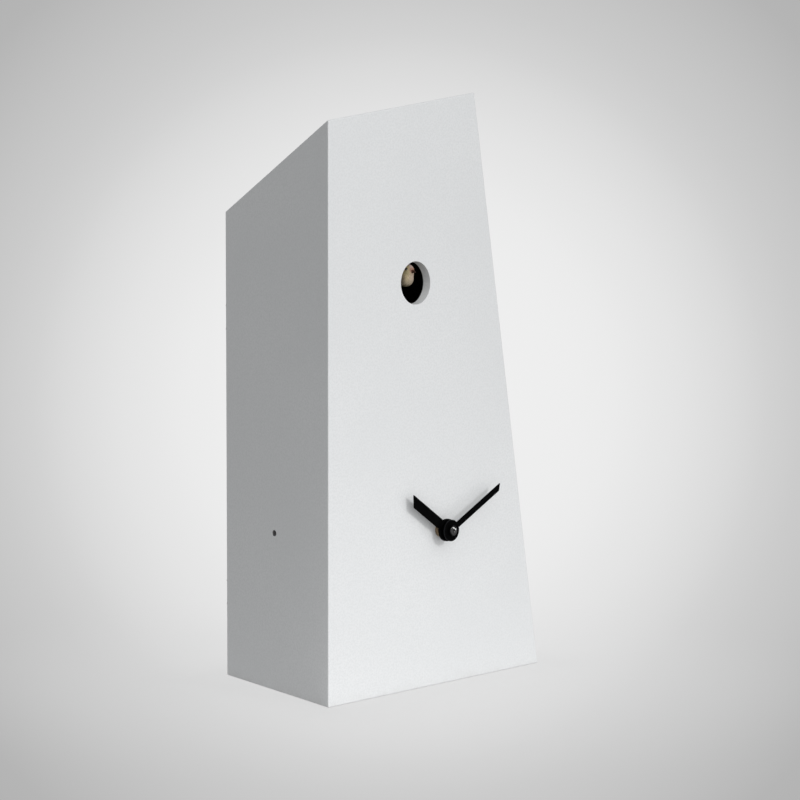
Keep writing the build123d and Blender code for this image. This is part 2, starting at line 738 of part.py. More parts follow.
# ------------------------------------------------------------------
# Cuckoo unit: bird on a swinging arm with a toothed sector
# ------------------------------------------------------------------
PIV_Y, PIV_Z = 14.0, HOLE_Z - 34.0
SECT_M, SECT_T, PIN_T = 0.75, 40, 10
PIN_DIST = SECT_M * (SECT_T + PIN_T) / 2
PIN_ANG = -30.0                                     # pinion direction from the pivot
PINN_Y = PIV_Y + PIN_DIST * cos(radians(PIN_ANG))
PINN_Z = PIV_Z + PIN_DIST * sin(radians(PIN_ANG))
EAR_L, EAR_R, EAR_T = HOLE_X - 12, HOLE_X + 12, 2.0               # outer faces of the two ears
STOP_BAR_Y, STOP_BAR_Z = PIV_Y + 9.9, PIV_Z + 6.4

with BuildPart() as bracket:
    with Locations(P(HOLE_X, T + 1.0, 197.0)):
        Box(32, 2.0, 36)
    for x0 in (EAR_L, EAR_R - EAR_T):
        with BuildSketch(side_plane(x0)):
            with BuildLine():
                Polyline((T + 1, 181), (T + 1, 213), (27, 214), (42, 204), (42, 184), (37, 180), (22, 180),
                         close=True)
            make_face()
        extrude(amount=EAR_T)
    for y, z, r in ((PIV_Y, PIV_Z, 1.53), (STOP_BAR_Y, STOP_BAR_Z, 1.53), (PINN_Y, PINN_Z, 1.05)):
        with BuildSketch(side_plane(EAR_L - 2, y, z)):
            Circle(r)
        extrude(amount=30, mode=Mode.SUBTRACT)
    for sx, sz in SCREW_HOLES[:2]:
        with BuildSketch(face_plane(sx, sz, T + 4)):
            Circle(1.4)
        extrude(amount=6, mode=Mode.SUBTRACT)
save(bracket, "bird_bracket")

with BuildPart() as pivot_pin:
    with BuildSketch(side_plane(EAR_L, PIV_Y, PIV_Z)):
        Circle(1.5)
    extrude(amount=EAR_R - EAR_L + 0.6)
    with BuildSketch(side_plane(EAR_L - 1.0, PIV_Y, PIV_Z)):
        Circle(2.6)
    extrude(amount=1.0)
save(pivot_pin, "bird_pivot_pin")

with BuildPart() as stop_bar:
    with BuildSketch(side_plane(EAR_L - 0.4, STOP_BAR_Y, STOP_BAR_Z)):
        Circle(1.5)
    extrude(amount=EAR_R - EAR_L + 0.8)
save(stop_bar, "bird_stop_bar")

ARM_X0, ARM_T = HOLE_X - 2.0, 4.0


def strip(points, w):
    """Outline of a strip of width w along a chain of points, mitred corners."""
    left, right = [], []
    for i, (x, y) in enumerate(points):
        dirs = []
        if i > 0:
            dirs.append((x - points[i - 1][0], y - points[i - 1][1]))
        if i < len(points) - 1:
            dirs.append((points[i + 1][0] - x, points[i + 1][1] - y))
        ns = []
        for dx, dy in dirs:
            k = sqrt(dx * dx + dy * dy)
            ns.append((-dy / k, dx / k))
        nx, ny = sum(n[0] for n in ns), sum(n[1] for n in ns)
        k = sqrt(nx * nx + ny * ny)
        nx, ny = nx / k, ny / k
        m = (w / 2) / (nx * ns[0][0] + ny * ns[0][1])
        left.append((x + nx * m, y + ny * m))
        right.append((x - nx * m, y - ny * m))
    return left + right[::-1]


NECK = [(0, 0), (8.5, 11.5), (11.6, 17.5), (12.4, 22.5), (11.2, 27.5), (9.4, 30.2)]
PEG_DIR = Vector(0, -0.684, 0.729)
with BuildPart() as bird_arm:
    # pivot tube
    with BuildSketch(side_plane(EAR_L + EAR_T + 0.5, PIV_Y, PIV_Z)):
        Circle(4.0)
    extrude(amount=EAR_R - EAR_L - 2 * EAR_T - 1.0)
    # curved neck up to the bird
    with BuildSketch(side_plane(ARM_X0, PIV_Y, PIV_Z)):
        with BuildLine():
            Polyline(*strip(NECK, 4.0), close=True)
        make_face()
    extrude(amount=ARM_T)
    # toothed sector
    with BuildSketch(side_plane(ARM_X0, PIV_Y, PIV_Z)):
        with BuildLine():
            Polyline(*([(0.0, 0.0)] + gear_points(SECT_T, SECT_M, *WHEEL, PIN_ANG, first=-4, count=6)), close=True)
        make_face()
    extrude(amount=ARM_T)
    # peg into the bird
    with BuildSketch(Plane(origin=P(HOLE_X, PIV_Y + 9.6, PIV_Z + 29.8), x_dir=(1, 0, 0), z_dir=PEG_DIR)):
        Circle(1.5)
    extrude(amount=6.5)
    with BuildSketch(side_plane(EAR_L, PIV_Y, PIV_Z)):
        Circle(1.55)
    extrude(amount=EAR_R - EAR_L, mode=Mode.SUBTRACT)
save(bird_arm, "bird_arm")

# Bird, from the hole's centre: body, breast, head, beak and tail
BODY_Y, BODY_Z, BODY_A, BODY_R, BODY_TILT = 14.5, 3.4, 10.4, 5.9, 18.0
BREAST_Y, BREAST_Z, BREAST_R = 7.9, 2.3, 4.7
HEAD_Y, HEAD_Z, HEAD_R = 6.9, 7.2, 4.2
bt = radians(BODY_TILT)
with BuildPart() as bird:
    with BuildSketch(side_plane(HOLE_X, BODY_Y, HOLE_Z + BODY_Z)):
        with BuildLine():
            EllipticalCenterArc((0, 0), BODY_A, BODY_R, start_angle=0, arc_size=180, rotation=-BODY_TILT)
            Line((-BODY_A * cos(bt), BODY_A * sin(bt)), (BODY_A * cos(bt), -BODY_A * sin(bt)))
        make_face()
    revolve(axis=Axis(P(HOLE_X, BODY_Y, HOLE_Z + BODY_Z), (0, cos(bt), -sin(bt))))
    with Locations(P(HOLE_X, BREAST_Y, HOLE_Z + BREAST_Z)):
        Sphere(BREAST_R)
    with Locations(P(HOLE_X, HEAD_Y, HOLE_Z + HEAD_Z)):
        Sphere(HEAD_R)
    beak_dir = Vector(0, -0.97, -0.22)
    with BuildSketch(Plane(origin=P(HOLE_X, HEAD_Y - 3.3, HOLE_Z + HEAD_Z - 0.3), x_dir=(1, 0, 0), z_dir=beak_dir)):
        Circle(1.6)
    extrude(amount=3.4, taper=20)
    with BuildSketch(side_plane(HOLE_X - 3.6, 0, HOLE_Z)):
        with BuildLine():
            Polyline((20.0, 3.2), (38.0, 0.6), (38.4, -0.6), (37.6, -1.6), (22.0, 0.2), close=True)
        make_face()
    extrude(amount=7.2)
    with BuildSketch(Plane(origin=P(HOLE_X, PIV_Y + 9.6, PIV_Z + 29.8), x_dir=(1, 0, 0), z_dir=PEG_DIR)):
        Circle(1.55)
    extrude(amount=6.6, mode=Mode.SUBTRACT)
    # flat where the neck's end stands under the bird
    with BuildSketch(side_plane(ARM_X0 - 0.1, PIV_Y, PIV_Z)):
        with BuildLine():
            Polyline(*strip(NECK, 4.2), close=True)
        make_face()
    extrude(amount=ARM_T + 0.2, mode=Mode.SUBTRACT)
save(bird, "bird")

# Small gear motor and the pinion on its shaft
MOTOR_R, MOTOR_L = 8.0, 22.0
with BuildPart() as bird_motor:
    with BuildSketch(side_plane(EAR_R, PINN_Y, PINN_Z)):
        Circle(MOTOR_R)
    extrude(amount=MOTOR_L)
    with BuildSketch(side_plane(EAR_R + MOTOR_L, PINN_Y, PINN_Z)):
        Circle(3.0)
    extrude(amount=1.5)
    fillet(bird_motor.edges().filter_by(GeomType.CIRCLE).sort_by(Axis.X)[-3:-2], 0.8)
    with BuildSketch(side_plane(EAR_R - 1, PINN_Y, PINN_Z)):
        Circle(1.05)
    extrude(amount=6, mode=Mode.SUBTRACT)
save(bird_motor, "bird_motor")

with BuildPart() as bird_pinion:
    with BuildSketch(side_plane(HOLE_X - 2.6, PINN_Y, PINN_Z)):
        with BuildLine():
            Polyline(*gear_points(PIN_T, SECT_M, *PINION, PIN_ANG + 180.0 + 18.0), close=True)
        make_face()
    extrude(amount=5.2)
    with BuildSketch(side_plane(EAR_L - 0.5, PINN_Y, PINN_Z)):
        Circle(1.0)
    extrude(amount=EAR_R + 4.5 - EAR_L)
save(bird_pinion, "bird_pinion")

# ------------------------------------------------------------------
# Sound unit: box, cover, speaker, board and a slide switch
# ------------------------------------------------------------------
BOX_X, BOX_Z, BOX_W, BOX_H, BOX_WALL = 75.0, 150.0, 70.0, 48.0, 1.6
BOX_Y0, BOX_Y1, BOX_Y2 = T, 28.0, 30.0
BOX_POSTS = [(sx * 31.0, sz * 20.0) for sx in (-1, 1) for sz in (-1, 1)]
SW_X, SW_TRAVEL = 97.0, 6.0

with BuildPart() as sound_box:
    with BuildSketch(face_plane(BOX_X, BOX_Z, BOX_Y1)):
        RectangleRounded(BOX_W, BOX_H, 3)
    extrude(amount=BOX_Y1 - BOX_Y0)
    with BuildSketch(face_plane(BOX_X, BOX_Z, BOX_Y0 + 2.0)):
        RectangleRounded(86, 12, 3)
    extrude(amount=2.0)
    with BuildSketch(face_plane(BOX_X, BOX_Z, BOX_Y1)):
        RectangleRounded(BOX_W - 2 * BOX_WALL, BOX_H - 2 * BOX_WALL, 2)
    extrude(amount=BOX_Y1 - BOX_Y0 - BOX_WALL, mode=Mode.SUBTRACT)
    with BuildSketch(face_plane(BOX_X, BOX_Z, BOX_Y1)):
        with Locations(*BOX_POSTS):
            Circle(2.6)
    extrude(amount=BOX_Y1 - BOX_Y0 - 0.5)
    with BuildSketch(face_plane(BOX_X, BOX_Z, BOX_Y1)):
        with Locations(*BOX_POSTS):
            Circle(0.95)
    extrude(amount=13, mode=Mode.SUBTRACT)
    for sx, sz in SCREW_HOLES[2:]:
        with BuildSketch(face_plane(sx, sz, T + 4)):
            Circle(1.4)
        extrude(amount=6, mode=Mode.SUBTRACT)
save(sound_box, "sound_box")

with BuildPart() as sound_cover:
    with BuildSketch(face_plane(BOX_X, BOX_Z, BOX_Y2)):
        RectangleRounded(BOX_W, BOX_H, 3)
    extrude(amount=BOX_Y2 - BOX_Y1)
    with BuildSketch(face_plane(SPK_X, SPK_Z, BOX_Y2 + 1)):
        Circle(1.3)
        for rr, nn in ((4.4, 6), (8.8, 12), (13.2, 18)):
            with PolarLocations(rr, nn):
                Circle(1.3)
    extrude(amount=4, mode=Mode.SUBTRACT)
    with BuildSketch(face_plane(SW_X, BOX_Z, BOX_Y2 + 1)):
        Rectangle(3.8, 11.6)
    extrude(amount=4, mode=Mode.SUBTRACT)
    with BuildSketch(face_plane(BOX_X, BOX_Z, BOX_Y2 + 1)):
        with Locations(*BOX_POSTS):
            Circle(1.1)
    extrude(amount=4, mode=Mode.SUBTRACT)
save(sound_cover, "sound_box_cover")

# Two kinds of screws: small case screws and wood screws into the front panel
with BuildPart() as case_screws:
    for dx, dz in POSTS:
        pan_screw(HUB_X + dx, MOV_Y2, HUB_Z + dz, 2.0, 1.3, 0.9, 12.0)
    for dx, dz in BOX_POSTS:
        pan_screw(BOX_X + dx, BOX_Y2, BOX_Z + dz, 2.0, 1.3, 0.9, 12.0)
save(case_screws, "small_case_screws")

with BuildPart() as wood_screws:
    for sx, sz in SCREW_HOLES:
        pan_screw(sx, T + 2, sz, 2.6, 1.6, 1.25, 5.8)
save(wood_screws, "panel_wood_screws")

SPK_AXIS = Axis(P(SPK_X, 0, SPK_Z), (0, 1, 0))
with BuildPart() as speaker_basket:
    with BuildSketch(side_plane(SPK_X, 0, SPK_Z)):
        with BuildLine():
            Polyline((16.9, 3.0), (16.9, 10.2), (26.6, 18.9), (26.9, 20.0), (27.9, 20.0), (27.9, 17.6),
                     (26.9, 17.6), (18.1, 9.2), (17.9, 3.0), close=True)
        make_face()
    revolve(axis=SPK_AXIS)
save(speaker_basket, "speaker_basket")

with BuildPart() as speaker_cone:
    with BuildSketch(side_plane(SPK_X, 0, SPK_Z)):
        with BuildLine():
            Polyline((26.95, 17.55), (27.45, 17.55), (27.7, 16.6), (27.3, 15.6), (21.2, 5.0), (22.4, 3.4), (23.0, 1.6),
                     (23.1, 0.0), (22.6, 0.0), (22.5, 1.5), (21.9, 3.1), (20.4, 4.9), (26.7, 15.8), (27.1, 16.6),
                     close=True)
        make_face()
    revolve(axis=SPK_AXIS)
save(speaker_cone, "speaker_cone")

with BuildPart() as speaker_magnet:
    with BuildSketch(face_plane(SPK_X, SPK_Z, 16.9)):
        Circle(9.5)
    extrude(amount=6.5)
    chamfer(speaker_magnet.edges(), 0.4)
save(speaker_magnet, "speaker_magnet")

with BuildPart() as sound_board:
    with BuildSketch(face_plane(95.0, 150.0, T + BOX_WALL + 1.2)):
        Rectangle(14, 36)
    extrude(amount=1.2)
    with BuildSketch(face_plane(95.0, 156.0, T + BOX_WALL + 2.6)):
        Rectangle(7, 7)
    extrude(amount=1.6)
    with BuildSketch(face_plane(95.0, 140.0, T + BOX_WALL + 9.0)):
        Circle(2.5)
    extrude(amount=8.0)
save(sound_board, "sound_board")

with BuildPart() as switch_body:
    with BuildSketch(face_plane(SW_X, BOX_Z, BOX_Y1)):
        Rectangle(9, 18)
    extrude(amount=7.0)
    with BuildSketch(face_plane(SW_X, BOX_Z, BOX_Y1)):
        Rectangle(3.8, 11.6)
    extrude(amount=4.2, mode=Mode.SUBTRACT)
save(switch_body, "switch_body")

with BuildPart() as switch_slider:
    with BuildSketch(face_plane(SW_X, BOX_Z - SW_TRAVEL / 2, 33.0)):
        RectangleRounded(3.0, 5.0, 0.4)
    extrude(amount=33.0 - 24.2)
    with BuildSketch(face_plane(SW_X, BOX_Z - SW_TRAVEL / 2, 33.0)):
        with GridLocations(0, 1.2, 1, 3):
            Rectangle(3.2, 0.4)
    extrude(amount=0.4, mode=Mode.SUBTRACT)
save(switch_slider, "switch_slider")

# ------------------------------------------------------------------
# Cells in a tray on the base
# ------------------------------------------------------------------
TRAY_X, TRAY_Y, TRAY_L, TRAY_W, TRAY_H, TRAY_WALL = 73.0, 70.0, 64.0, 54.0, 17.0, 1.6
CELL_R, CELL_PITCH, CELL_L = 7.1, 16.2, 49.0
CELL_Z = T + TRAY_WALL + CELL_R + 0.2
XI0, XI1 = TRAY_X - TRAY_L / 2 + TRAY_WALL, TRAY_X + TRAY_L / 2 - TRAY_WALL
with BuildPart() as tray:
    with BuildSketch(Plane(origin=P(TRAY_X, TRAY_Y, T))):
        RectangleRounded(TRAY_L, TRAY_W, 2)
    extrude(amount=TRAY_H)
    with BuildSketch(Plane(origin=P(TRAY_X, TRAY_Y, T + TRAY_WALL))):
        Rectangle(TRAY_L - 2 * TRAY_WALL, TRAY_W - 2 * TRAY_WALL)
    extrude(amount=TRAY_H, mode=Mode.SUBTRACT)
    with BuildSketch(Plane(origin=P(TRAY_X, TRAY_Y, T + TRAY_WALL / 2))):
        with GridLocations(0, CELL_PITCH, 1, 2):
            Rectangle(TRAY_L - TRAY_WALL, 1.2)
    extrude(amount=10.0)
save(tray, "battery_tray")

CELLS = [(-1, 1), (0, -1), (1, 1)]                  # row and the way the nub points
with BuildPart() as cells:
    for row, way in CELLS:
        x_nub = XI1 - 0.6 if way > 0 else XI0 + 0.6
        x_end = x_nub - way * 1.3
        yc = TRAY_Y + row * CELL_PITCH
        x0 = x_end - CELL_L if way > 0 else x_end
        with BuildSketch(side_plane(x0, yc, CELL_Z)):
            Circle(CELL_R)
        extrude(amount=CELL_L)
        with BuildSketch(side_plane(min(x_nub, x_end), yc, CELL_Z)):
            Circle(2.7)
        extrude(amount=1.3)
save(cells, "battery_cells")

with BuildPart() as contacts:
    for row, way in CELLS:
        for x in (XI0 + 0.25, XI1 - 0.25):
            with Locations(P(x, TRAY_Y + row * CELL_PITCH, CELL_Z)):
                Box(0.5, 10, 10)
save(contacts, "battery_contacts")

SPRING_R, SPRING_WIRE, SPRING_L = 3.4, 0.35, 8.0
with BuildPart() as springs:
    for row, way in CELLS:
        x0 = XI0 + 0.95 if way > 0 else XI1 - 0.95 - SPRING_L
        with BuildLine() as coil:
            Helix(pitch=1.8, height=SPRING_L, radius=SPRING_R,
                  center=P(x0, TRAY_Y + row * CELL_PITCH, CELL_Z), direction=(1, 0, 0))
        with BuildSketch(Plane(origin=coil.line @ 0, z_dir=coil.line % 0)):
            Circle(SPRING_WIRE)
        sweep(path=coil.line, is_frenet=True)
save(springs, "battery_springs")

# ------------------------------------------------------------------
# Light sensor in the left side
# ------------------------------------------------------------------
with BuildPart() as sensor_holder:
    with BuildSketch(sensor_plane.offset(-3.1)):
        Circle(3.05)
    extrude(amount=-(T - 3.1))
    with BuildSketch(sensor_plane.offset(-T)):
        Circle(5.5)
    extrude(amount=-2.0)
    with BuildSketch(sensor_plane.offset(-2)):
        Circle(2.1)
    extrude(amount=-8, mode=Mode.SUBTRACT)
save(sensor_holder, "sensor_holder")

with BuildPart() as light_sensor:
    with BuildSketch(sensor_plane.offset(-3.4)):
        Circle(2.05)
    extrude(amount=-2.2)
save(light_sensor, "light_sensor")

# ------------------------------------------------------------------
# Leads held inside the case
# ------------------------------------------------------------------
inward = LEFT[0]
s0 = sensor_out + inward * 5.6
corner = Vector(OX, OY, 0)


def abs_pt(v):
    """Frame point of a lead given as corner coordinates."""
    return Vector(*P(*v))


SENSOR_ROUTE = [s0, s0 + inward * 11.0, abs_pt((31.0, 38.0, 106.0)), abs_pt((30.0, 21.5, 126.0)),
                abs_pt((30.0, 20.0, 137.0)), abs_pt((40.0, 20.0, 137.0))]
CELL_ROUTE = [abs_pt((41.0, 54.0, 16.0)), abs_pt((30.0, 54.0, 16.0)), abs_pt((21.5, 40.0, 60.0)),
              abs_pt((22.5, 30.0, 120.0)), abs_pt((28.5, 24.0, 164.0)), abs_pt((40.0, 24.0, 164.0))]
MOTOR_ROUTE = [abs_pt((EAR_R + MOTOR_L + 1.5, PINN_Y, PINN_Z)), abs_pt((114.5, PINN_Y, PINN_Z)),
               abs_pt((119.0, 26.0, 178.0)), abs_pt((118.5, 20.0, 163.0)), abs_pt((110.0, 20.0, 163.0))]
MOVE_ROUTE = [abs_pt((80.0, 19.0, 120.0)), abs_pt((80.0, 19.0, 126.0))]
LEADS = [("sensor_lead", SENSOR_ROUTE, [5, 8, 6, 4]), ("battery_lead", CELL_ROUTE, [6, 14, 16, 5]),
         ("motor_lead", MOTOR_ROUTE, [4, 6, 4]), ("movement_lead", MOVE_ROUTE, [])]
LEAD_R = 0.8
for name, route, radii in LEADS:
    with BuildPart() as lead:
        with BuildLine() as run:
            if radii:
                FilletPolyline(*route, radius=radii)
            else:
                Line(*route)
        with BuildSketch(Plane(origin=run.line @ 0, z_dir=run.line % 0)):
            Circle(LEAD_R)
        sweep(path=run.line)
    run_l = sum(e.length for e in run.edges())
    print(name, "length", round(run_l, 1), "radii", radii,
          "volume ratio", round(lead.part.volume / (pi * LEAD_R ** 2 * run_l), 4))
    save(lead, name)
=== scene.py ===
import json
import math
import bpy
import bmesh
import numpy as np
from mathutils import Matrix, Vector

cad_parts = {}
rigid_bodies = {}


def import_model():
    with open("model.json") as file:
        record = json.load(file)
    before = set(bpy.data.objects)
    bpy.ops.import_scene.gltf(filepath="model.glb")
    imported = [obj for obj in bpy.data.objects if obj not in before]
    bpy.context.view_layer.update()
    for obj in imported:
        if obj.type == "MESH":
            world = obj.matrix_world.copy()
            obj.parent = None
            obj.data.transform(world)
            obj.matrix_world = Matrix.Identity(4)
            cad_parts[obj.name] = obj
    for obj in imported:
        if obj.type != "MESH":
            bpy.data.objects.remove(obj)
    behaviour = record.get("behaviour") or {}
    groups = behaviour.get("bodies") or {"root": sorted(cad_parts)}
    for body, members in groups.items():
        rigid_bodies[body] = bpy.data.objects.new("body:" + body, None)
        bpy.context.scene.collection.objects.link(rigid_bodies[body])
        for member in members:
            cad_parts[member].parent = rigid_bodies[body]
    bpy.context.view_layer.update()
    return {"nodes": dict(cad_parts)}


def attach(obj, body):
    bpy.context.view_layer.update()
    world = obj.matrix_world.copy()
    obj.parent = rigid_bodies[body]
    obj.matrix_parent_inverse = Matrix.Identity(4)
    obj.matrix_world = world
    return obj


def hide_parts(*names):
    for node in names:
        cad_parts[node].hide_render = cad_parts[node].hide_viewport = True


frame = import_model()
NODE = frame["nodes"]
scene = bpy.context.scene

# ------------------------------------------------------------------
# Sizes: coordinates in millimetres from the foot of the front face (x
# right, y back, z up) to the row frame in metres
# ------------------------------------------------------------------
MM = 0.001
OX, OY = -90.733, -51.3
HOLE_X, HOLE_Z, HOLE_R = 70.3, 236.7, 12.4
HUB_X, HUB_Z = 92.0, 92.0


def R(x, y, z):
    return Vector(((x + OX) * MM, (y + OY) * MM, z * MM))


# ------------------------------------------------------------------
# Camera at the photograph's viewing angle
# ------------------------------------------------------------------
VIEW = Vector((0.726343, 0.682824, -0.078595)).normalized()
VIEW_UP = Vector((0.055906, 0.055469, 0.996894))
VIEW_RIGHT = VIEW.cross(VIEW_UP).normalized()
VIEW_UP = VIEW_RIGHT.cross(VIEW)
ALONG = Vector((VIEW.x, VIEW.y, 0.0)).normalized()
cam_data = bpy.data.cameras.new("camera")
cam_data.lens = 103.5
cam_data.sensor_width = 36.0
cam_data.clip_start, cam_data.clip_end = 0.02, 30.0
cam = bpy.data.objects.new("camera", cam_data)
scene.collection.objects.link(cam)
cam.location = R(-900.304, -900.257, 273.548)
cam.rotation_euler = Matrix((VIEW_RIGHT, VIEW_UP, -VIEW)).transposed().to_euler()
scene.camera = cam


# ------------------------------------------------------------------
# Node helper
# ------------------------------------------------------------------
class Graph:
    def __init__(self, tree):
        self.t = tree
        self._obj = None

    def new(self, kind, **props):
        n = self.t.nodes.new(kind)
        for k, v in props.items():
            setattr(n, k, v)
        return n

    def put(self, sock, v):
        if isinstance(v, bpy.types.NodeSocket):
            self.t.links.new(v, sock)
        elif isinstance(v, (tuple, list)) and len(v) == 3 and sock.type == "RGBA":
            sock.default_value = (*v, 1.0)
        else:
            sock.default_value = v

    def obj(self):
        """Position on the piece itself; it goes with the piece when a joint moves."""
        if self._obj is None:
            self._obj = self.new("ShaderNodeTexCoord").outputs["Object"]
        return self._obj

    def math(self, op, a, b=None, clamp=False):
        n = self.new("ShaderNodeMath", operation=op, use_clamp=clamp)
        self.put(n.inputs[0], a)
        if b is not None:
            self.put(n.inputs[1], b)
        return n.outputs[0]

    def add(self, a, b):
        return self.math("ADD", a, b)

    def sub(self, a, b):
        return self.math("SUBTRACT", a, b)

    def mul(self, a, b):
        return self.math("MULTIPLY", a, b)

    def vec(self, op, a, b):
        n = self.new("ShaderNodeVectorMath", operation=op)
        self.put(n.inputs[0], a)
        self.put(n.inputs[1], b)
        return n.outputs["Value"] if op in ("DOT_PRODUCT", "DISTANCE") else n.outputs["Vector"]

    def scale(self, v, xyz):
        return self.vec("MULTIPLY", v, xyz)

    def sep(self, v):
        n = self.new("ShaderNodeSeparateXYZ")
        self.put(n.inputs[0], v)
        return n.outputs[0], n.outputs[1], n.outputs[2]

    def comb(self, x, y, z):
        n = self.new("ShaderNodeCombineXYZ")
        for s, v in zip(n.inputs, (x, y, z)):
            self.put(s, v)
        return n.outputs[0]

    def ramp(self, x, a, b, lo=0.0, hi=1.0, kind="SMOOTHSTEP"):
        n = self.new("ShaderNodeMapRange", interpolation_type=kind, clamp=True)
        for i, v in enumerate((x, a, b, lo, hi)):
            self.put(n.inputs[i], v)
        return n.outputs[0]

    def noise(self, v, scale, detail=2.0, rough=0.5, dist=0.0):
        n = self.new("ShaderNodeTexNoise")
        self.put(n.inputs["Vector"], v)
        self.put(n.inputs["Scale"], scale)
        self.put(n.inputs["Detail"], detail)
        self.put(n.inputs["Roughness"], rough)
        self.put(n.inputs["Distortion"], dist)
        return n.outputs[0]

    def cells(self, v, scale, feature="F1", out="Distance"):
        n = self.new("ShaderNodeTexVoronoi", feature=feature)
        self.put(n.inputs["Vector"], v)
        self.put(n.inputs["Scale"], scale)
        return n.outputs[out]

    def mix(self, f, a, b, blend="MIX"):
        n = self.new("ShaderNodeMix", data_type="RGBA", blend_type=blend, clamp_factor=True)
        self.put(n.inputs[0], f)
        self.put(n.inputs[6], a)
        self.put(n.inputs[7], b)
        return n.outputs[2]

    def lerp(self, f, a, b):
        n = self.new("ShaderNodeMix", data_type="FLOAT", clamp_factor=True)
        self.put(n.inputs[0], f)
        self.put(n.inputs[2], a)
        self.put(n.inputs[3], b)
        return n.outputs[0]

    def bump(self, height, distance, strength=1.0, normal=None):
        n = self.new("ShaderNodeBump")
        self.put(n.inputs["Strength"], strength)
        self.put(n.inputs["Distance"], distance)
        self.put(n.inputs["Height"], height)
        if normal is not None:
            self.put(n.inputs["Normal"], normal)
        return n.outputs["Normal"]

    def attr(self, name, out="Color"):
        return self.new("ShaderNodeAttribute", attribute_name=name).outputs[out]

    def polar(self, p, cx, cz):
        """Radius and angle round an axis along Y through (cx, cz)."""
        x, y, z = self.sep(p)
        dx, dz = self.sub(x, cx), self.sub(z, cz)
        rho = self.math("SQRT", self.add(self.mul(dx, dx), self.mul(dz, dz)))
        return rho, self.math("ARCTAN2", dz, dx), y


def principled(name, metallic=0.0, specular=0.5, coat=0.0, coat_rough=0.1, sheen=0.0, aniso=0.0):
    m = bpy.data.materials.new(name)
    m.use_nodes = True
    m.node_tree.nodes.clear()
    g = Graph(m.node_tree)
    out = g.new("ShaderNodeOutputMaterial")
    b = g.new("ShaderNodeBsdfPrincipled")
    g.t.links.new(b.outputs[0], out.inputs["Surface"])
    b.inputs["Metallic"].default_value = metallic
    b.inputs["Specular IOR Level"].default_value = specular
    b.inputs["Coat Weight"].default_value = coat
    b.inputs["Coat Roughness"].default_value = coat_rough
    b.inputs["Sheen Weight"].default_value = sheen
    b.inputs["Anisotropic"].default_value = aniso
    return m, g, b


def finish_mat(g, b, color, rough, normal=None, metallic=None):
    g.put(b.inputs["Base Color"], color)
    g.put(b.inputs["Roughness"], rough)
    if normal is not None:
        g.put(b.inputs["Normal"], normal)
    if metallic is not None:
        g.put(b.inputs["Metallic"], metallic)


def dress(mat, *nodes):
    for n in nodes:
        o = NODE[n]
        o.data.materials.clear()
        o.data.materials.append(mat)


# ------------------------------------------------------------------
# Case planes in the row frame: inward normal and offset, metres
# ------------------------------------------------------------------
def plane_eq(p, q, r):
    n = (q - p).cross(r - p).normalized()
    if n.dot(R(80, 55, 120) - p) < 0:
        n.negate()
    return n, n.dot(p)


CA, CB, CD = R(-0.75, 0, 0), R(182.35, 0, 0), R(23.35, 110.2, 0)
CC = R(158.25, 110.2, 0)
CA1, CB1, CD1 = R(-0.75, 0, 327.8), R(120.7, 0, 347.9), R(23.35, 110.2, 277.4)
PLANES = {
    "front": plane_eq(CA, CB, CA1),
    "left": plane_eq(CA, CD, CA1),
    "right": plane_eq(CB, CC, CB1),
    "roof": plane_eq(CA1, CB1, CD1),
    "base": plane_eq(CA, CB, CD),
    "back": plane_eq(CD, CC, CD1),
}


def inside(g, p, plane):
    n, d = plane
    return g.sub(g.vec("DOT_PRODUCT", p, tuple(n)), d)


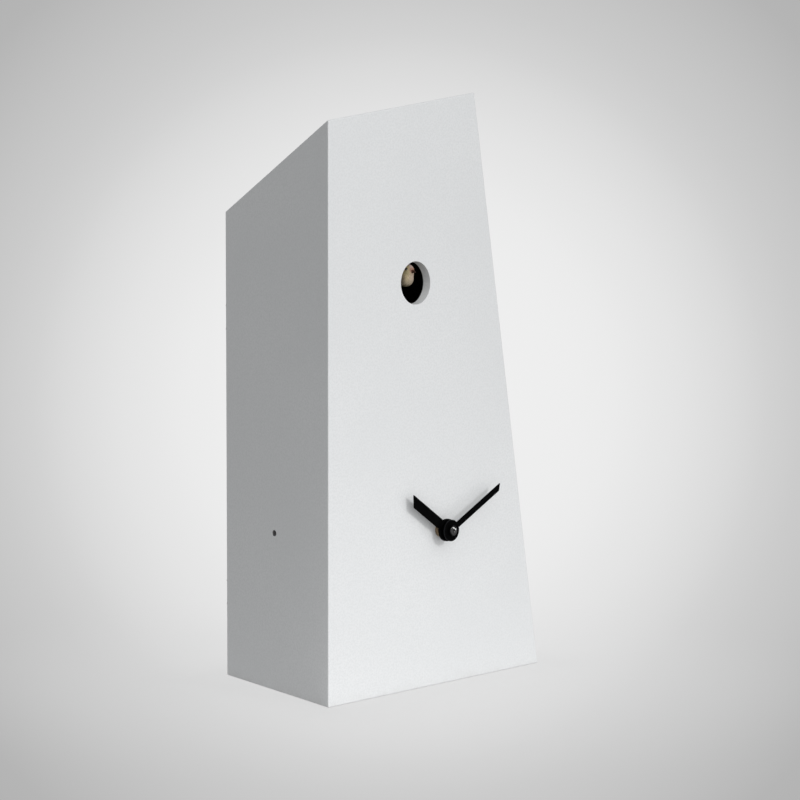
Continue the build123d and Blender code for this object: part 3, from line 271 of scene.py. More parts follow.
# ------------------------------------------------------------------
# Materials of the case
# ------------------------------------------------------------------
def lacquer(name, own, lining_as_shade=True, inset=0.0):
    """Satin white lacquer on fibreboard: fine sprayed grain, faint tone changes, slightly worn edges and a grey foot
    line, with painted shade towards the right of the front and in the sensor hole, and painted light and shade on the
    wall of the bird's hole; the inner face is bare board, sprayed matt black in the upper part behind the bird as a
    lining that is also painted shade."""
    m, g, b = principled("white_lacquer_" + name, specular=0.42)
    p = g.obj()
    x, y, z = g.sep(p)
    depth = inside(g, p, PLANES[own])
    edge = None
    for k in PLANES:
        if k != own:
            d = inside(g, p, PLANES[k])
            if inset and k != "front":
                d = g.sub(d, inset)
            edge = d if edge is None else g.math("MINIMUM", edge, d)
    if own == "front":
        hx, hz = R(HOLE_X, 0, HOLE_Z).x, HOLE_Z * MM
        rho, ang, _ = g.polar(p, hx, hz)
        edge = g.math("MINIMUM", edge, g.math("ABSOLUTE", g.sub(rho, HOLE_R * MM)))
    # colour
    cloud = g.noise(p, 13.0, 3.0, 0.5)
    grain = g.noise(p, 900.0, 2.0, 0.65)
    fleck = g.noise(p, 330.0, 2.0, 0.5)
    col = g.mix(g.ramp(cloud, 0.32, 0.68), (0.800, 0.806, 0.811), (0.776, 0.784, 0.790))
    col = g.mix(g.ramp(grain, 0.34, 0.68), col, (0.738, 0.746, 0.751))
    col = g.mix(g.ramp(fleck, 0.60, 0.74, 0.0, 0.30), col, (0.820, 0.825, 0.828))
    if own == "front":
        # painted shade: the front is darker towards its right side, up to 5.5 % black
        col = g.mix(g.ramp(x, -0.085, 0.070, 0.0, 0.055, "LINEAR"), col, (0.0, 0.0, 0.0))
        wall = g.mul(g.ramp(g.math("ABSOLUTE", g.sub(rho, HOLE_R * MM)), 0.00012, 0.00004), g.ramp(depth, 0.0004, 0.0007))
        marks = g.noise(g.comb(g.mul(ang, 0.012), g.mul(depth, 0.35), 0.0), 1500.0, 3.0, 0.65)
        col = g.mix(g.mul(wall, g.ramp(marks, 0.35, 0.70, 0.0, 0.32)), col, (0.50, 0.50, 0.50))
        # painted light and shade on the hole's wall: whiter towards its foot, darker under its top
        col = g.mix(g.mul(wall, g.ramp(z, hz + 0.0020, hz - 0.0075, 0.0, 0.45)), col, (0.95, 0.955, 0.958))
        col = g.mix(g.mul(wall, g.ramp(z, hz + 0.0010, hz + 0.0050, 0.0, 0.08)), col, (0.10, 0.10, 0.10))
    patch = g.noise(p, 70.0, 3.0, 0.6)
    wear = g.mul(g.ramp(g.add(edge, g.mul(g.sub(patch, 0.5), 0.0016)), 0.0009, 0.0002),
                 g.ramp(patch, 0.48, 0.70))
    col = g.mix(g.mul(wear, 0.30), col, (0.66, 0.64, 0.60))
    if own in ("front", "roof"):                          # lacquer sanded thin on the rounded edge under the roof
        rub = g.ramp(inside(g, p, PLANES["roof" if own == "front" else "front"]), 0.00095, 0.00045)
        col = g.mix(g.mul(rub, g.ramp(patch, 0.30, 0.65, 0.30, 0.42)), col, (0.50, 0.505, 0.51))
    foot = g.mul(g.ramp(z, 0.007, 0.0), g.ramp(g.noise(p, 120.0, 3.0, 0.65), 0.35, 0.75))
    col = g.mix(g.mul(foot, 0.22), col, (0.56, 0.55, 0.53))
    if own == "left":                                     # painted shade: the wall of the sensor hole is painted dark grey
        eye = g.vec("DISTANCE", p, tuple(R(11.52, 56.1, 92.1)))
        deep = g.ramp(depth, 0.00008, 0.00022)
        col = g.mix(g.mul(g.ramp(eye, 0.0050, 0.0046), deep), col, (0.150, 0.150, 0.152))
        run = g.vec("DISTANCE", p, tuple(R(11.65, 56.69, 92.1)))   # and painted shade, darker, a little over the rear of its rim
        run = g.mul(g.ramp(run, 0.00190, 0.00164), g.sub(1.0, deep))
        col = g.mix(run, col, (0.022, 0.022, 0.023))
    # bare board inside, and black spray in its upper part, a lining that is also painted shade for the dark inside
    # seen through the hole
    fibre = g.noise(g.scale(p, (1.0, 1.0, 0.45)), 900.0, 3.0, 0.65)
    chips = g.noise(p, 240.0, 3.0, 0.6)
    board = g.mix(g.ramp(fibre, 0.30, 0.72), (0.245, 0.160, 0.092), (0.395, 0.275, 0.165))
    board = g.mix(g.ramp(chips, 0.62, 0.78, 0.0, 0.5), board, (0.17, 0.11, 0.065))
    if lining_as_shade:
        # black spray above the height of the bird's hole: a lining that is also painted shade
        black_spray_and_shade = g.ramp(g.add(z, g.mul(g.sub(g.noise(p, 60.0, 4.0, 0.7), 0.5), 0.030)), 0.152, 0.182)
        board = g.mix(black_spray_and_shade, board, (0.012, 0.012, 0.012))
    inner = g.ramp(depth, 0.0053, 0.0057)
    col = g.mix(inner, col, board)
    # gloss and relief
    rough = g.add(0.40, g.mul(g.sub(g.noise(p, 90.0, 3.0, 0.6), 0.5), 0.16))
    rough = g.lerp(inner, rough, 0.85)
    peel = g.add(g.mul(g.noise(p, 640.0, 2.0, 0.55), 0.75), g.mul(grain, 0.35))
    relief = g.lerp(inner, g.mul(peel, 0.55), fibre)
    finish_mat(g, b, col, rough, g.bump(relief, 0.00010, 0.55))
    return m


dress(lacquer("front", "front"), "front_panel")
dress(lacquer("left", "left"), "left_side_panel")
dress(lacquer("right", "right"), "right_side_panel")
dress(lacquer("roof", "roof"), "roof_panel")
dress(lacquer("base", "base"), "base_panel")
dress(lacquer("door", "back", lining_as_shade=False, inset=0.0068), "rear_door")


def bare_wood():
    """Planed pine: long growth lines along Z, fine pores, saw marks."""
    m, g, b = principled("pine", specular=0.25)
    p = g.obj()
    warp = g.noise(g.scale(p, (1.0, 1.0, 0.12)), 40.0, 3.0, 0.5)
    x, y, z = g.sep(p)
    ring = g.math("SINE", g.mul(g.add(g.add(x, g.mul(y, 0.6)), g.mul(warp, 0.010)), 2600.0))
    pore = g.noise(g.scale(p, (1.0, 1.0, 0.05)), 2200.0, 2.0, 0.6)
    col = g.mix(g.ramp(ring, -0.6, 0.9), (0.62, 0.45, 0.28), (0.47, 0.30, 0.165))
    col = g.mix(g.ramp(pore, 0.55, 0.75, 0.0, 0.45), col, (0.33, 0.20, 0.11))
    finish_mat(g, b, col, g.ramp(pore, 0.3, 0.8, 0.62, 0.82), g.bump(g.add(pore, g.mul(ring, 0.1)), 0.00008, 0.6))
    return m


dress(bare_wood(), "door_stop_battens")


# ------------------------------------------------------------------
# Hands
# ------------------------------------------------------------------
def black_lacquer(name, specular, base_rough, coat, rim=None, wave=0.14, depth=0.00002):
    m, g, b = principled(name, specular=specular, coat=coat, coat_rough=0.08)
    p = g.obj()
    dust = g.ramp(g.cells(p, 1500.0), 0.10, 0.03)
    cloud = g.noise(p, 160.0, 3.0, 0.6)
    grain = g.noise(p, 2600.0, 2.0, 0.6)
    col = g.mix(g.ramp(cloud, 0.35, 0.7), (0.0010, 0.0010, 0.0011), (0.0022, 0.0022, 0.0024))
    col = g.mix(g.mul(dust, g.ramp(cloud, 0.5, 0.75, 0.0, 0.30)), col, (0.020, 0.020, 0.020))
    if rim is not None:                                   # a lighter band round the disc's rim: a painted highlight on its edge
        c = R(HUB_X, 0, HUB_Z)
        rho, ang, y = g.polar(p, c.x, c.z)
        band = g.mul(g.ramp(rho, rim - 0.00016, rim - 0.00004), g.ramp(rho, rim + 0.0002, rim + 0.0001))
        col = g.mix(g.mul(band, g.ramp(cloud, 0.25, 0.6, 0.5, 1.0)), col, (0.012, 0.0122, 0.013))
    rough = g.add(base_rough, g.mul(g.sub(cloud, 0.5), wave))
    finish_mat(g, b, col, rough, g.bump(grain, depth, 0.5))
    return m


dress(black_lacquer("black_lacquer_hour", 0.012, 0.46, 0.0), "hour_hand")
dress(black_lacquer("black_lacquer_minute", 0.012, 0.46, 0.0, 0.0063), "minute_hand")
cap_mat = black_lacquer("black_gloss", 0.5, 0.05, 0.0, wave=0.03, depth=0.0000004)


def build_cap():
    """Turned cap over the arbor: domed face with a centre dimple, rolled rim, hollow behind."""
    prof = [(0.0, 10.78), (0.20, 10.785), (0.38, 10.81), (0.52, 10.86), (0.64, 10.93), (0.74, 10.99), (0.84, 11.03),
            (0.95, 11.048), (1.1, 11.0479), (1.3, 11.0431), (1.6, 11.0344), (1.9, 11.0239), (2.15, 11.0138),
            (2.35, 11.0048), (2.5, 10.9975), (2.6, 10.985), (2.70, 10.955), (2.79, 10.905), (2.87, 10.83), (2.94, 10.73),
            (2.98, 10.62), (3.0, 10.5), (3.0, 9.9), (3.0, 9.5),
            (2.95, 9.34), (2.86, 9.3), (1.64, 9.3), (1.62, 9.34), (1.62, 10.56), (1.58, 10.6), (0.0, 10.6)]
    n = 120
    c = R(HUB_X, 0, HUB_Z)
    verts, faces, rings = [], [], []
    for r, d in prof:
        if r == 0.0:
            rings.append([len(verts)])
            verts.append((c.x, c.y - d * MM, c.z))
        else:
            rings.append(list(range(len(verts), len(verts) + n)))
            verts += [(c.x + r * MM * math.cos(2 * math.pi * k / n), c.y - d * MM,
                       c.z + r * MM * math.sin(2 * math.pi * k / n)) for k in range(n)]
    for a, b in zip(rings, rings[1:]):
        for k in range(n):
            m = (k + 1) % n
            if len(a) == 1:
                faces.append((a[0], b[k], b[m]))
            elif len(b) == 1:
                faces.append((a[k], b[0], a[m]))
            else:
                faces.append((a[k], b[k], b[m], a[m]))
    me = bpy.data.meshes.new("hand_cap_turned")
    me.from_pydata(verts, [], faces)
    me.validate()
    me.polygons.foreach_set("use_smooth", np.ones(len(me.polygons), bool))
    me.update()
    o = bpy.data.objects.new("hand_cap_turned", me)
    scene.collection.objects.link(o)
    me.materials.append(cap_mat)
    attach(o, "minute_body")
    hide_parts("hand_cap")


build_cap()


# ------------------------------------------------------------------
# Metals
# ------------------------------------------------------------------
def turned_brass():
    m, g, b = principled("turned_brass", metallic=0.7)
    p = g.obj()
    c = R(HUB_X, 0, HUB_Z)
    rho, ang, y = g.polar(p, c.x, c.z)
    lathe = g.noise(g.comb(g.mul(rho, 1.0), g.mul(ang, 0.00004), g.mul(y, 1.0)), 9000.0, 2.0, 0.6)
    stain = g.noise(p, 420.0, 3.0, 0.6)
    col = g.mix(g.ramp(stain, 0.35, 0.72), (0.52, 0.41, 0.29), (0.34, 0.255, 0.165))
    flats = g.mul(g.ramp(rho, 0.0036, 0.0038), g.ramp(y, c.y - 0.0015, c.y - 0.00135))     # tarnish on the nut's flats, made dark enough to stand as painted shade on its sides
    col = g.mix(g.mul(flats, g.ramp(stain, 0.25, 0.6, 0.22, 0.42)), col, (0.15, 0.092, 0.040))
    rough = g.add(g.mul(lathe, 0.18), g.ramp(stain, 0.3, 0.8, 0.26, 0.44))
    finish_mat(g, b, col, rough, g.bump(lathe, 0.00002, 0.6))
    return m


dress(turned_brass(), "threaded_bushing", "bushing_nut", "bushing_washer", "minute_arbor")


def brushed(name, c1, c2, along, r0, r1, fine=5200.0, spots=None):
    m, g, b = principled(name, metallic=1.0)
    p = g.obj()
    line = g.noise(g.scale(p, along), fine, 2.0, 0.6)
    stain = g.noise(p, 190.0, 4.0, 0.65)
    col = g.mix(g.ramp(stain, 0.32, 0.70), c1, c2)
    if spots is not None:
        col = g.mix(g.ramp(g.noise(p, 520.0, 2.0, 0.5), 0.63, 0.74, 0.0, 0.6), col, spots)
    rough = g.add(g.mul(g.sub(line, 0.5), 0.18), g.ramp(stain, 0.3, 0.75, r0, r1))
    finish_mat(g, b, col, rough, g.bump(line, 0.00002, 0.6))
    return m


hinge_mat = brushed("hinge_brass", (0.70, 0.53, 0.26), (0.52, 0.37, 0.17), (1.0, 1.0, 0.04), 0.22, 0.40,
                    spots=(0.33, 0.22, 0.10))
dress(hinge_mat, "hinge_case_leaves", "hinge_door_leaves", "hinge_pins")
dress(brushed("hinge_screw_metal", (0.40, 0.33, 0.22), (0.26, 0.20, 0.12), (0.2, 1.0, 1.0), 0.26, 0.46,
              spots=(0.12, 0.085, 0.05)), "hinge_case_screws", "hinge_door_screws")
zinc = brushed("zinc_plate", (0.66, 0.67, 0.69), (0.52, 0.53, 0.55), (1.0, 0.2, 1.0), 0.24, 0.42)
dress(zinc, "small_case_screws", "panel_wood_screws", "bird_pivot_pin", "bird_stop_bar", "minute_wheel_post",
      "catch_strike", "quartz_crystal")
dress(brushed("motor_can", (0.62, 0.62, 0.61), (0.48, 0.48, 0.47), (0.05, 1.0, 1.0), 0.26, 0.44), "bird_motor")
dress(brushed("nickel_wire", (0.74, 0.71, 0.66), (0.60, 0.57, 0.52), (0.3, 1.0, 1.0), 0.14, 0.30),
      "battery_springs", "battery_contacts")
dress(brushed("magnet_nickel", (0.70, 0.69, 0.67), (0.58, 0.57, 0.55), (1.0, 0.1, 1.0), 0.16, 0.30), "catch_magnet")


def galvanised():
    """Sheet with crystal spangle."""
    m, g, b = principled("galvanised_sheet", metallic=1.0)
    p = g.obj()
    tint = g.cells(p, 230.0, out="Color")
    r, gg, bb = g.sep(tint)
    scratch = g.noise(g.scale(p, (1.0, 1.0, 0.06)), 3200.0, 2.0, 0.6)
    col = g.mix(r, (0.50, 0.51, 0.52), (0.68, 0.69, 0.69))
    rough = g.add(g.mul(gg, 0.20), g.ramp(scratch, 0.35, 0.7, 0.26, 0.38))
    finish_mat(g, b, col, rough, g.bump(g.add(g.mul(scratch, 0.4), g.mul(bb, 0.5)), 0.00002, 0.5))
    return m


dress(galvanised(), "bird_bracket")


# ------------------------------------------------------------------
# Plastics, rubber, paper
# ------------------------------------------------------------------
def moulded(name, c1, c2, r0, r1, spark=1900.0, depth=0.00003, specular=0.45, sheen=0.0, swirl=55.0):
    """Moulded plastic with a spark-eroded grain and faint flow marks."""
    m, g, b = principled(name, specular=specular, sheen=sheen)
    p = g.obj()
    flow = g.noise(g.scale(p, (1.0, 1.0, 0.5)), swirl, 3.0, 0.55, 0.8)
    grain = g.noise(p, spark, 2.0, 0.6)
    scuff = g.noise(g.scale(p, (0.25, 1.0, 1.0)), 480.0, 4.0, 0.7)
    col = g.mix(g.ramp(flow, 0.30, 0.72), c1, c2)
    col = g.mix(g.ramp(scuff, 0.66, 0.80, 0.0, 0.25), col, tuple(min(1.0, x * 1.7 + 0.02) for x in c1))
    rough = g.add(g.mul(g.sub(grain, 0.5), 0.12), g.ramp(scuff, 0.35, 0.75, r0, r1))
    finish_mat(g, b, col, rough, g.bump(grain, depth, 0.7))
    return m


black_case = moulded("movement_plastic", (0.012, 0.012, 0.013), (0.020, 0.020, 0.021), 0.42, 0.56)
dress(black_case, "movement_front_case", "movement_rear_case", "step_motor")
dress(moulded("box_plastic", (0.030, 0.031, 0.034), (0.043, 0.044, 0.047), 0.46, 0.60),
      "sound_box", "sound_box_cover", "switch_body", "sensor_holder")
dress(moulded("tray_plastic", (0.016, 0.016, 0.017), (0.026, 0.026, 0.028), 0.38, 0.52), "battery_tray")
gear_mat = moulded("natural_plastic", (0.78, 0.74, 0.64), (0.70, 0.66, 0.56), 0.34, 0.46, spark=2600.0, depth=0.00002)
dress(gear_mat, "hour_wheel", "centre_wheel", "minute_wheel", "drive_pinion", "bird_pinion", "bird_arm")
dress(moulded("knob_plastic", (0.66, 0.64, 0.58), (0.58, 0.56, 0.50), 0.36, 0.50), "setting_knob")
dress(moulded("slider_plastic", (0.76, 0.76, 0.73), (0.68, 0.68, 0.65), 0.30, 0.42), "switch_slider")
dress(moulded("rubber", (0.013, 0.013, 0.013), (0.022, 0.022, 0.022), 0.78, 0.92, spark=2600.0, specular=0.3),
      "rubber_gasket")
dress(moulded("lead_red", (0.34, 0.022, 0.018), (0.25, 0.014, 0.012), 0.30, 0.44, spark=3200.0, depth=0.00001),
      "battery_lead")
dress(moulded("lead_grey", (0.20, 0.20, 0.21), (0.14, 0.14, 0.15), 0.32, 0.46, spark=3200.0, depth=0.00001),
      "sensor_lead", "motor_lead", "movement_lead")
dress(moulded("speaker_black", (0.020, 0.020, 0.022), (0.032, 0.032, 0.034), 0.34, 0.50, specular=0.5),
      "speaker_basket", "speaker_magnet")


def paper_cone():
    m, g, b = principled("paper_cone", specular=0.2, sheen=0.15)
    p = g.obj()
    c = R(64.0, 0, 150.0)
    rho, ang, y = g.polar(p, c.x, c.z)
    rib = g.math("SINE", g.mul(rho, 5200.0))
    fibre = g.noise(p, 1700.0, 4.0, 0.7)
    col = g.mix(g.ramp(fibre, 0.32, 0.72), (0.020, 0.018, 0.016), (0.052, 0.047, 0.042))
    finish_mat(g, b, col, g.ramp(fibre, 0.3, 0.8, 0.72, 0.90), g.bump(g.add(fibre, g.mul(rib, 0.4)), 0.00006, 0.7))
    return m


dress(paper_cone(), "speaker_cone")


def cell_jacket():
    """Plain sleeve with a lighter ring, bright steel ends and nubs."""
    m, g, b = principled("cell_jacket", specular=0.5, coat=0.35, coat_rough=0.12)
    p = g.obj()
    x, y, z = g.sep(p)
    # distance from each cell's flat ends
    row = g.math("ABSOLUTE", g.sub(y, R(0, 70.0, 0).y))
    middle = g.ramp(row, 0.0082, 0.0080)
    xi0, xi1 = R(73 - 32 + 1.6, 0, 0).x, R(73 + 32 - 1.6, 0, 0).x
    plus_outer = xi1 - 0.0019
    minus_outer = plus_outer - 0.049
    plus_mid = xi0 + 0.0019
    minus_mid = plus_mid + 0.049
    from_plus = g.lerp(middle, g.sub(plus_outer, x), g.sub(x, plus_mid))
    from_minus = g.lerp(middle, g.sub(x, minus_outer), g.sub(minus_mid, x))
    ends = g.math("MAXIMUM", g.ramp(from_plus, 0.0007, 0.0005), g.ramp(from_minus, 0.0007, 0.0005))
    ring = g.mul(g.ramp(from_plus, 0.0115, 0.0112), g.ramp(from_plus, 0.0020, 0.0023))
    line = g.mul(g.ramp(from_plus, 0.0128, 0.0126), g.ramp(from_plus, 0.0118, 0.0120))
    rub = g.noise(g.scale(p, (0.3, 1.0, 1.0)), 420.0, 4.0, 0.65)
    col = g.mix(g.ramp(rub, 0.35, 0.7), (0.020, 0.045, 0.105), (0.030, 0.062, 0.135))
    col = g.mix(ring, col, g.mix(rub, (0.52, 0.53, 0.54), (0.62, 0.63, 0.64)))
    col = g.mix(line, col, (0.52, 0.53, 0.54))
    col = g.mix(ends, col, g.mix(rub, (0.60, 0.59, 0.57), (0.72, 0.71, 0.69)))
    rough = g.add(g.ramp(rub, 0.3, 0.75, 0.20, 0.36), 0.0)
    finish_mat(g, b, col, rough, g.bump(rub, 0.00001, 0.5), ends)
    return m


dress(cell_jacket(), "battery_cells")


def board_mat(name, chip_y, way, can=None):
    """Green solder mask with copper runs under it, dark chip bodies and tinned pads."""
    m, g, b = principled(name, specular=0.5)
    p = g.obj()
    x, y, z = g.sep(p)
    brick = g.new("ShaderNodeTexBrick")
    g.put(brick.inputs["Vector"], g.comb(x, z, y))
    g.put(brick.inputs["Scale"], 210.0)
    g.put(brick.inputs["Mortar Size"], 0.09)
    runs = brick.outputs["Fac"]
    pads = g.ramp(g.cells(g.comb(x, 0.0, z), 420.0), 0.20, 0.14)
    spread = g.noise(p, 300.0, 3.0, 0.6)
    col = g.mix(g.ramp(spread, 0.3, 0.7), (0.010, 0.085, 0.038), (0.016, 0.115, 0.052))
    col = g.mix(g.mul(runs, 0.75), col, (0.030, 0.190, 0.085))
    some = g.ramp(g.noise(p, 95.0, 2.0, 0.5), 0.52, 0.58)
    pad = g.mul(pads, some)
    col = g.mix(pad, col, (0.66, 0.65, 0.62))
    chip = g.ramp(g.mul(g.sub(y, chip_y), way), 0.0, 0.00005)
    col = g.mix(chip, col, g.mix(spread, (0.012, 0.012, 0.013), (0.022, 0.022, 0.023)))
    if can is not None:
        (cx, cz), r = can
        rho, ang, _ = g.polar(p, cx, cz)
        drum = g.mul(g.ramp(rho, r + 0.0002, r + 0.0001), chip)
        stripe = g.mul(drum, g.ramp(ang, 2.2, 2.25))
        col = g.mix(drum, col, (0.018, 0.022, 0.060))
        col = g.mix(stripe, col, (0.55, 0.55, 0.56))
    finish_mat(g, b, col, g.lerp(pad, g.ramp(spread, 0.3, 0.7, 0.28, 0.42), 0.3),
               g.bump(g.add(g.mul(runs, 0.6), pad), 0.00003, 0.6), pad)
    return m


dress(board_mat("movement_board", R(0, 21.25, 0).y, -1.0), "movement_board")
cap_c = R(95.0, 0, 140.0)
dress(board_mat("sound_board", R(0, 8.85, 0).y, 1.0, ((cap_c.x, cap_c.z), 0.0025)), "sound_board")


def sensor_face():
    m, g, b = principled("sensor_window", specular=0.5, coat=0.8, coat_rough=0.05)
    p = g.obj()
    x, y, z = g.sep(p)
    zig = g.math("SINE", g.mul(g.add(z, g.mul(g.math("PINGPONG", g.mul(y, 1.0), 0.0008), 0.6)), 9000.0))
    fog = g.noise(p, 900.0, 3.0, 0.6)
    col = g.mix(g.ramp(zig, 0.2, 0.6), (0.10, 0.035, 0.020), (0.34, 0.20, 0.10))
    col = g.mix(g.ramp(fog, 0.5, 0.8, 0.0, 0.4), col, (0.05, 0.02, 0.015))
    finish_mat(g, b, col, g.ramp(fog, 0.3, 0.7, 0.16, 0.3), g.bump(zig, 0.00002, 0.4))
    return m


dress(sensor_face(), "light_sensor")


# ------------------------------------------------------------------
# Bird. Millimetres from the hole's centre: u to the right, y back from
# the front face, z up; it looks out of the hole, towards -y.
# ------------------------------------------------------------------
def bird_space(v):
    v = np.asarray(v, float)
    return np.stack([(v[:, 0] + HOLE_X + OX) * MM, (v[:, 1] + OY) * MM, (v[:, 2] + HOLE_Z - 0.3) * MM], 1)


def sstep(x, a, b):
    t = np.clip((x - a) / (b - a), 0.0, 1.0)
    return t * t * (3.0 - 2.0 * t)


def mesh_piece(name, verts, faces, mat, attrs=None):
    me = bpy.data.meshes.new(name)
    me.from_pydata(bird_space(verts).tolist(), [], [tuple(int(i) for i in f) for f in faces])
    me.validate()
    me.polygons.foreach_set("use_smooth", np.ones(len(me.polygons), bool))
    for k, v in (attrs or {}).items():
        v = np.asarray(v, np.float32)
        if v.ndim == 2:
            a = me.attributes.new(k, "FLOAT_COLOR", "POINT")
            a.data.foreach_set("color", np.concatenate([v, np.ones((len(v), 1), np.float32)], 1).ravel())
        else:
            a = me.attributes.new(k, "FLOAT", "POINT")
            a.data.foreach_set("value", v)
    me.update()
    o = bpy.data.objects.new(name, me)
    scene.collection.objects.link(o)
    o.data.materials.append(mat)
    return o


BLOBS = [                       # centre (u, y, z), half sizes (u, long, high), nose-up tilt in degrees
    ((0.0, 14.4, 3.2), (5.25, 10.0, 5.15), 18.0),
    ((0.0, 7.9, 2.35), (4.45, 4.35, 4.35), 0.0),
    ((0.0, 6.45, 7.3), (3.60, 3.85, 3.75), 0.0),
    ((0.0, 22.6, 1.3), (2.6, 4.6, 1.8), 14.0),
]
SOFT = 0.75


def skin(p):
    """Signed measure of the bird's plump body: below zero inside."""
    acc = np.zeros(len(p))
    for c, a, tilt in BLOBS:
        d = p - np.array(c)
        ct, st = math.cos(math.radians(tilt)), math.sin(math.radians(tilt))
        lo = d[:, 1] * ct - d[:, 2] * st
        hi = d[:, 1] * st + d[:, 2] * ct
        q = np.sqrt((d[:, 0] / a[0]) ** 2 + (lo / a[1]) ** 2 + (hi / a[2]) ** 2)
        acc += np.exp(-(q - 1.0) * min(a) / SOFT)
    return -SOFT * np.log(acc)


def scales(r, c):
    """Rows of round-tipped feathers lying over each other towards the back. r runs along, c across, both in
    feathers. Gives the place along the feather that is on top (0 root to 1 tip) and a number for it."""
    i = np.floor(r)
    k = i - 1.0
    ck = c + 0.5 * np.mod(k, 2.0)
    xk = ck - np.floor(ck) - 0.5
    ek = np.sqrt(np.maximum(0.0, 0.25 - xk ** 2)) * 1.5
    over = (r - k) < (0.55 + ek)
    ci = c + 0.5 * np.mod(i, 2.0)
    xi = ci - np.floor(ci) - 0.5
    ei = np.sqrt(np.maximum(0.0, 0.25 - xi ** 2)) * 1.5
    t = np.where(over, (r - k) / (0.55 + ek), (r - i) / (0.55 + ei))
    x = np.where(over, xk, xi)
    ident = np.where(over, np.floor(ck) * 7.13 + k * 3.71, np.floor(ci) * 7.13 + i * 3.71)
    return np.clip(t, 0.0, 1.0), x, np.mod(np.sin(ident * 12.9898) * 43758.5453, 1.0)


def lerp3(a, b, f):
    return a + (np.array(b) - a) * f[:, None]


def build_body():
    bm = bmesh.new()
    bmesh.ops.create_icosphere(bm, subdivisions=7, radius=1.0)
    dirs = np.array([v.co[:] for v in bm.verts])
    faces = [[v.index for v in f.verts] for f in bm.faces]
    bm.free()
    dirs /= np.linalg.norm(dirs, axis=1)[:, None]
    o = np.array((0.0, 11.2, 4.4))
    lo, hi = np.zeros(len(dirs)), np.zeros(len(dirs))
    for step in np.linspace(0.3, 24.0, 120):                 # first way out of the body
        out = (skin(o + dirs * step) > 0) & (hi == 0)
        hi[out] = step
        lo[(hi == 0)] = step
    hi[hi == 0] = 24.0
    for _ in range(26):
        mid = 0.5 * (lo + hi)
        neg = skin(o + dirs * mid[:, None]) < 0
        lo, hi = np.where(neg, mid, lo), np.where(neg, hi, mid)
    p = o + dirs * lo[:, None]
    # outward direction from the field
    e = 0.02
    n = np.stack([skin(p + np.eye(3)[i] * e) - skin(p - np.eye(3)[i] * e) for i in range(3)], 1)
    n /= np.linalg.norm(n, axis=1)[:, None]
    u, y, z = p[:, 0], p[:, 1], p[:, 2]
    # feathers: rows from the beak back
    ax = (y - 6.9) * math.cos(0.31) - (z - 6.0) * math.sin(0.31)
    ring = np.arctan2(u, (z - (5.2 - 0.30 * (y - 8.0))))
    size = 0.85 + 0.75 * sstep(y, 4.0, 16.0)
    t, x, ident = scales(ax / size + 40.0, ring * 5.2 / (0.95 + 0.45 * sstep(y, 4.0, 16.0)) + 40.0)
    amp = 0.045 + 0.075 * sstep(y, 6.0, 15.0)
    face = sstep(y, 5.4, 3.4) * sstep(z, 4.6, 5.8)
    amp *= 1.0 - 0.75 * face
    p2 = p + n * (amp * (t - 0.55) - 0.03 * np.exp(-(x / 0.09) ** 2) * (1 - face))[:, None]
    # paint
    tip = sstep(t, 0.72, 0.98)
    col = np.tile(np.array((0.50, 0.405, 0.245)), (len(p), 1))                # breast
    col = lerp3(col, (0.53, 0.42, 0.330), sstep(u, -3.4, 0.4) * sstep(y, 8.5, 4.0))
    col = lerp3(col, (0.41, 0.345, 0.250), sstep(z, 3.4, 0.2))
    fringe = sstep(z + 0.45 * np.sin(u * 3.7 + 1.0) + 0.25 * np.sin(u * 8.3 + y), -0.45, -1.25)
    col = lerp3(col, (0.17, 0.145, 0.095), fringe * 0.85)
    # painted shade: darker on both flanks below the head, as in the shade of the hole's rim
    col = lerp3(col, (0.19, 0.155, 0.115), sstep(np.abs(u), 2.9, 4.3) * sstep(z, 5.6, 3.6) * 0.75)
    back = sstep(n[:, 2] + 0.10 * np.sin(ring * 9.0), 0.15, 0.62) * sstep(y, 8.2, 10.2)
    side = sstep(y, 9.4, 12.5) * sstep(z - (4.4 - 0.32 * (y - 12.0)), -1.5, 1.8)
    col = lerp3(col, (0.125, 0.085, 0.045), np.maximum(back, 0.75 * side))
    rear = sstep(y, 17.5, 22.5)
    col = lerp3(col, (0.10, 0.072, 0.045), rear * sstep(n[:, 2], -0.35, 0.25))
    col = lerp3(col, (0.48, 0.42, 0.33), rear * sstep(n[:, 2], -0.05, -0.5))
    cheek = sstep(y, 2.2, 4.2) * sstep(y, 11.0, 8.0) * sstep(z, 4.4, 5.8)
    col = lerp3(col, (0.415, 0.350, 0.195), cheek * 0.9)
    nape = sstep(y, 7.0, 9.0) * sstep(z, 6.2, 8.4)
    col = lerp3(col, (0.050, 0.042, 0.024), nape * 0.9)
    brow = sstep(z + 0.35 * (y - 4.2), 7.6, 8.7) * sstep(y, 7.4, 5.8) * sstep(np.abs(u), 1.8, 0.5)
    col = lerp3(col, (0.55, 0.425, 0.40), brow * 0.95)
    lore = np.exp(-(((np.abs(u) - 1.15) / 0.80) ** 2 + ((y - 3.4) / 1.5) ** 2 + ((z - 7.8) / 1.25) ** 2))
    ring_b = np.exp(-((np.sqrt(u ** 2 + (z - 7.4) ** 2) / 1.8) ** 4)) * sstep(y, 4.5, 3.4)
    col = lerp3(col, (0.265, 0.120, 0.075), np.clip(lore * 1.3, 0, 1))
    col = lerp3(col, (0.300, 0.150, 0.098), ring_b * 0.85)
    shade = 0.90 + 0.20 * ident
    col = col * shade[:, None]
    dark = np.maximum(back, side)
    col = lerp3(col, (0.33, 0.25, 0.15), tip * dark * 0.55)
    col = lerp3(col, col * 0.80, tip * (1 - dark) * (1 - face) * 0.6)
    col *= (1.0 - 0.22 * np.exp(-(x / 0.07) ** 2) * (1 - face))[:, None]
    return p2, faces, {"paint": np.clip(col, 0.0, 1.0), "tip": t}


